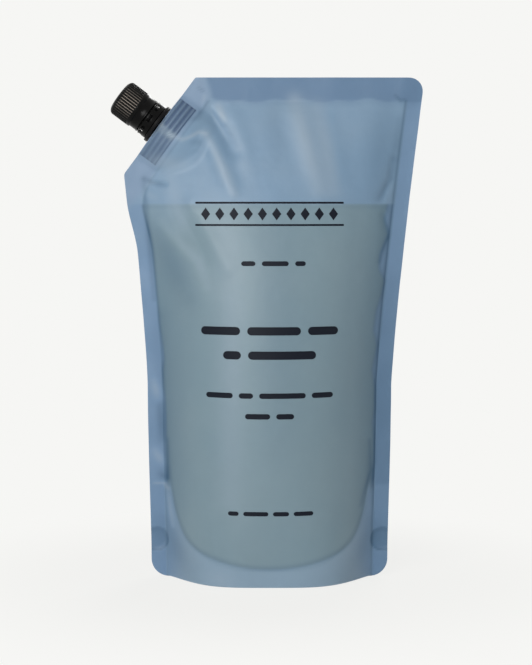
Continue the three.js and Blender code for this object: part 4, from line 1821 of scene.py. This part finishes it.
@dataclass
class TamperBand(SpoutPiece):
    """The windowed band under the cap, hooked below the neck's bead, with its broken bridges."""

    rides = Body.RING
    slot = Slot.CAP

    def build(self) -> TamperBand:
        """Builds the band, cuts its windows and adds its bridges.

        Returns:
            The band.
        """
        sizes = self.sizes
        low = sizes.flange_thickness + sizes.running_gap
        high = low + sizes.ring_height
        outer = sizes.cap_radius - 0.1
        inner = outer - sizes.ring_wall
        hook = sizes.neck_radius + sizes.running_gap
        hook_top = sizes.bead_start - sizes.running_gap
        corners = [
            (hook, low + 0.5), (hook, low), (outer, low), (outer, high), (inner, high), (inner, hook_top),
            (hook, hook_top), (hook, low + 0.55),
        ]
        self.piece = turned("tamper_band", rounded(corners, 0.35, 3), 144, closed=True)
        length = TURN * outer * sizes.window_length / sizes.ring_windows
        window = (sizes.ring_wall * 3, length, sizes.ring_height * sizes.window_height)
        window_at = (outer - sizes.ring_wall / 2 + 0.4, 0.0, high - sizes.ring_height * sizes.window_drop)
        bridge = (sizes.ring_wall * 0.8, sizes.bridge_width, 2 * sizes.bridge_length)
        bridge_at = (outer - sizes.ring_wall / 2 - 0.1, 0.0, high)
        for number in range(sizes.ring_windows):
            turn = TURN * number / sizes.ring_windows
            combine(self.piece, self.block("window", window, window_at, turn), "DIFFERENCE")
            turn += math.pi / sizes.ring_windows
            combine(self.piece, self.block("bridge", bridge, bridge_at, turn), "UNION")
        self.stand(35.0)
        return self

    @staticmethod
    def block(name: str, size: Triple, place: Triple, turn: float) -> Solid:
        """A block with chamfered edges.

        Args:
            name: its name.
            size: its sizes.
            place: its middle before the turn.
            turn: how far it is turned about the spout's axis.

        Returns:
            The block.
        """
        mesh = bpy.data.meshes.new(name)
        with editing(mesh) as work:
            bmesh.ops.create_cube(work, size=1.0)
            bmesh.ops.scale(work, vec=Vector(size) * MM, verts=work.verts)
            bmesh.ops.bevel(work, geom=work.edges[:], offset=0.12 * MM, segments=2, affect="EDGES")
            work.transform(Matrix.Rotation(turn, 4, "Z") @ Matrix.Translation(Vector(place) * MM))
        return add_object(name, mesh)


@dataclass(frozen=True)
class Lamp:
    """One square soft lamp that looks at a point. Its places and size are metres."""

    name: str
    place: Triple
    aim: Triple
    size: float
    power: float

    def build(self) -> None:
        """Adds the lamp."""
        data = bpy.data.lights.new(self.name, "AREA")
        data.shape = "SQUARE"
        data.size = self.size
        data.energy = self.power
        made = add_object(self.name, data)
        made.location = self.place
        made.rotation_euler = (Vector(self.aim) - Vector(self.place)).to_track_quat("-Z", "Y").to_euler()


LAMPS = (
    Lamp("key_lamp", (-0.42, -1.0, 0.62), (0.0, 0.0, 0.15), 0.55, 6.6),
    Lamp("glint_lamp", (-0.15, -1.02, 0.33), (-0.03, 0.0, 0.22), 0.1, 0.5),
    Lamp("back_lamp", (0.35, 1.0, 0.6), (0.0, 0.0, 0.15), 0.55, 6.0),
    Lamp("rim_lamp", (0.75, -0.35, 0.55), (0.02, 0.0, 0.15), 0.4, 0.2),
)


@dataclass
class Studio:
    """The pale floor, the soft lamps, the open background and the camera."""

    backdrop: Rgb = (246, 246, 244)
    floor_drop: float = 0.2
    floor_half: float = 4000.0
    camera_place: Triple = (-0.002, -1.077, 0.214)
    camera_pitch: float = 3.89
    lens: float = 101.9
    sky: float = 0.22
    shadow_reach: Pair = (0.24, 0.08)
    shadow_share: float = 0.12

    def build(self) -> None:
        """Builds the studio."""
        scene = bpy.context.scene
        scene.view_settings.view_transform = "Standard"
        self.build_world(scene)
        self.build_floor()
        for lamp in LAMPS:
            lamp.build()
        camera = add_object("camera", bpy.data.cameras.new("camera"))
        camera.location = self.camera_place
        camera.rotation_euler = (math.radians(90.0 - self.camera_pitch), 0.0, 0.0)
        camera.data.lens = self.lens
        camera.data.clip_start = 0.05
        scene.camera = camera

    def seen(self, graph: ShaderGraph) -> Value:
        """Tells rays that are seen from rays of light.

        Args:
            graph: the world's or the floor's graph.

        Returns:
            1 for rays from the camera, off gloss and through glass, and 0 for light.
        """
        path = graph.node("ShaderNodeLightPath")
        rays = [Value(graph, path.outputs[f"Is {kind} Ray"]) for kind in ("Camera", "Glossy", "Transmission")]
        return (rays[0] + rays[1] + rays[2]).clamped()

    def build_world(self, scene: bpy.types.Scene) -> None:
        """A plain pale world: the backdrop's colour to the eye, and softer as light.

        Args:
            scene: the scene that takes it.
        """
        scene.world = bpy.data.worlds.new("studio")
        graph = ShaderGraph(scene.world)
        seen = self.seen(graph)
        inputs = {"Color": linear(self.backdrop), "Strength": seen + (1.0 - seen) * self.sky}
        background = graph.node("ShaderNodeBackground", None, inputs)
        graph.node("ShaderNodeOutputWorld", None, {"Surface": background.outputs[0]})

    def build_floor(self) -> None:
        """A wide floor of the backdrop's colour, which keeps the shadow near the object."""
        half = self.floor_half
        corners = [(x * half, y * half, -self.floor_drop) for x, y in ((-1, -1), (1, -1), (1, 1), (-1, 1))]
        floor = make_object("floor", corners, [[0, 1, 2, 3]])
        material, graph = new_material("pale_floor")
        x, y, _ = graph.position()
        near = x.math("SQRT", x * x + y * y).step(*self.shadow_reach)
        lit = graph.node("ShaderNodeBsdfDiffuse", None, {"Color": linear(self.backdrop)})
        plain = graph.node("ShaderNodeEmission", None, {"Color": linear(self.backdrop), "Strength": 1.0})
        share = self.seen(graph) * (1.0 - near * self.shadow_share)
        mixed = graph.node("ShaderNodeMixShader", None, {0: share, 1: lit.outputs[0], 2: plain.outputs[0]})
        graph.node("ShaderNodeOutputMaterial", None, {"Surface": mixed.outputs[0]})
        floor.data.materials.append(material)


def main() -> None:
    """Builds every piece in order and dresses it."""
    logging.basicConfig(level=logging.INFO, format="%(name)s %(message)s")
    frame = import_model()
    shape, sizes = PouchShape(), SpoutSizes()
    Studio().build()

    film = FilmFinish(shape, sizes)
    welded = film.material("frosted_film", True)
    front = FilmPanel(shape, "front_panel", Side.FRONT, FRONT_FOLDS, FRONT_PAINTED_STREAKS, 250, (140, 16, 9)).build()
    front.dress(welded)
    FilmPanel(shape, "back_panel", Side.BACK, BACK_FOLDS, (), 170, (90, 12, 7)).build().dress(welded)
    FootGusset(shape, "bottom_gusset").build().dress(film.material("gusset_film", False))
    PrintedFace(front).build().dress(InkFinish().material())

    # The cap's knurls take a painted sheen and a painted highlight from the last two colours.
    black = MouldedFinish("gloss_black", (6, 6, 6), 0.24, 0.004, (26, 25, 24), (184, 172, 160)).material()
    fitment = MouldedFinish("moulded_fitment", (16, 16, 17), 0.38, 0.008).material()
    Spout(shape, "spout_fitment", sizes).build().dress(fitment)
    ScrewCap(shape, "screw_cap", sizes).build().dress(black)
    TamperBand(shape, "tamper_ring", sizes).build().dress(black)

    soap = frame["nodes"]["soap_fill"]
    soap.data.materials.clear()
    soap.data.materials.append(SoapFinish().material())


if __name__ == "__main__":
    main()
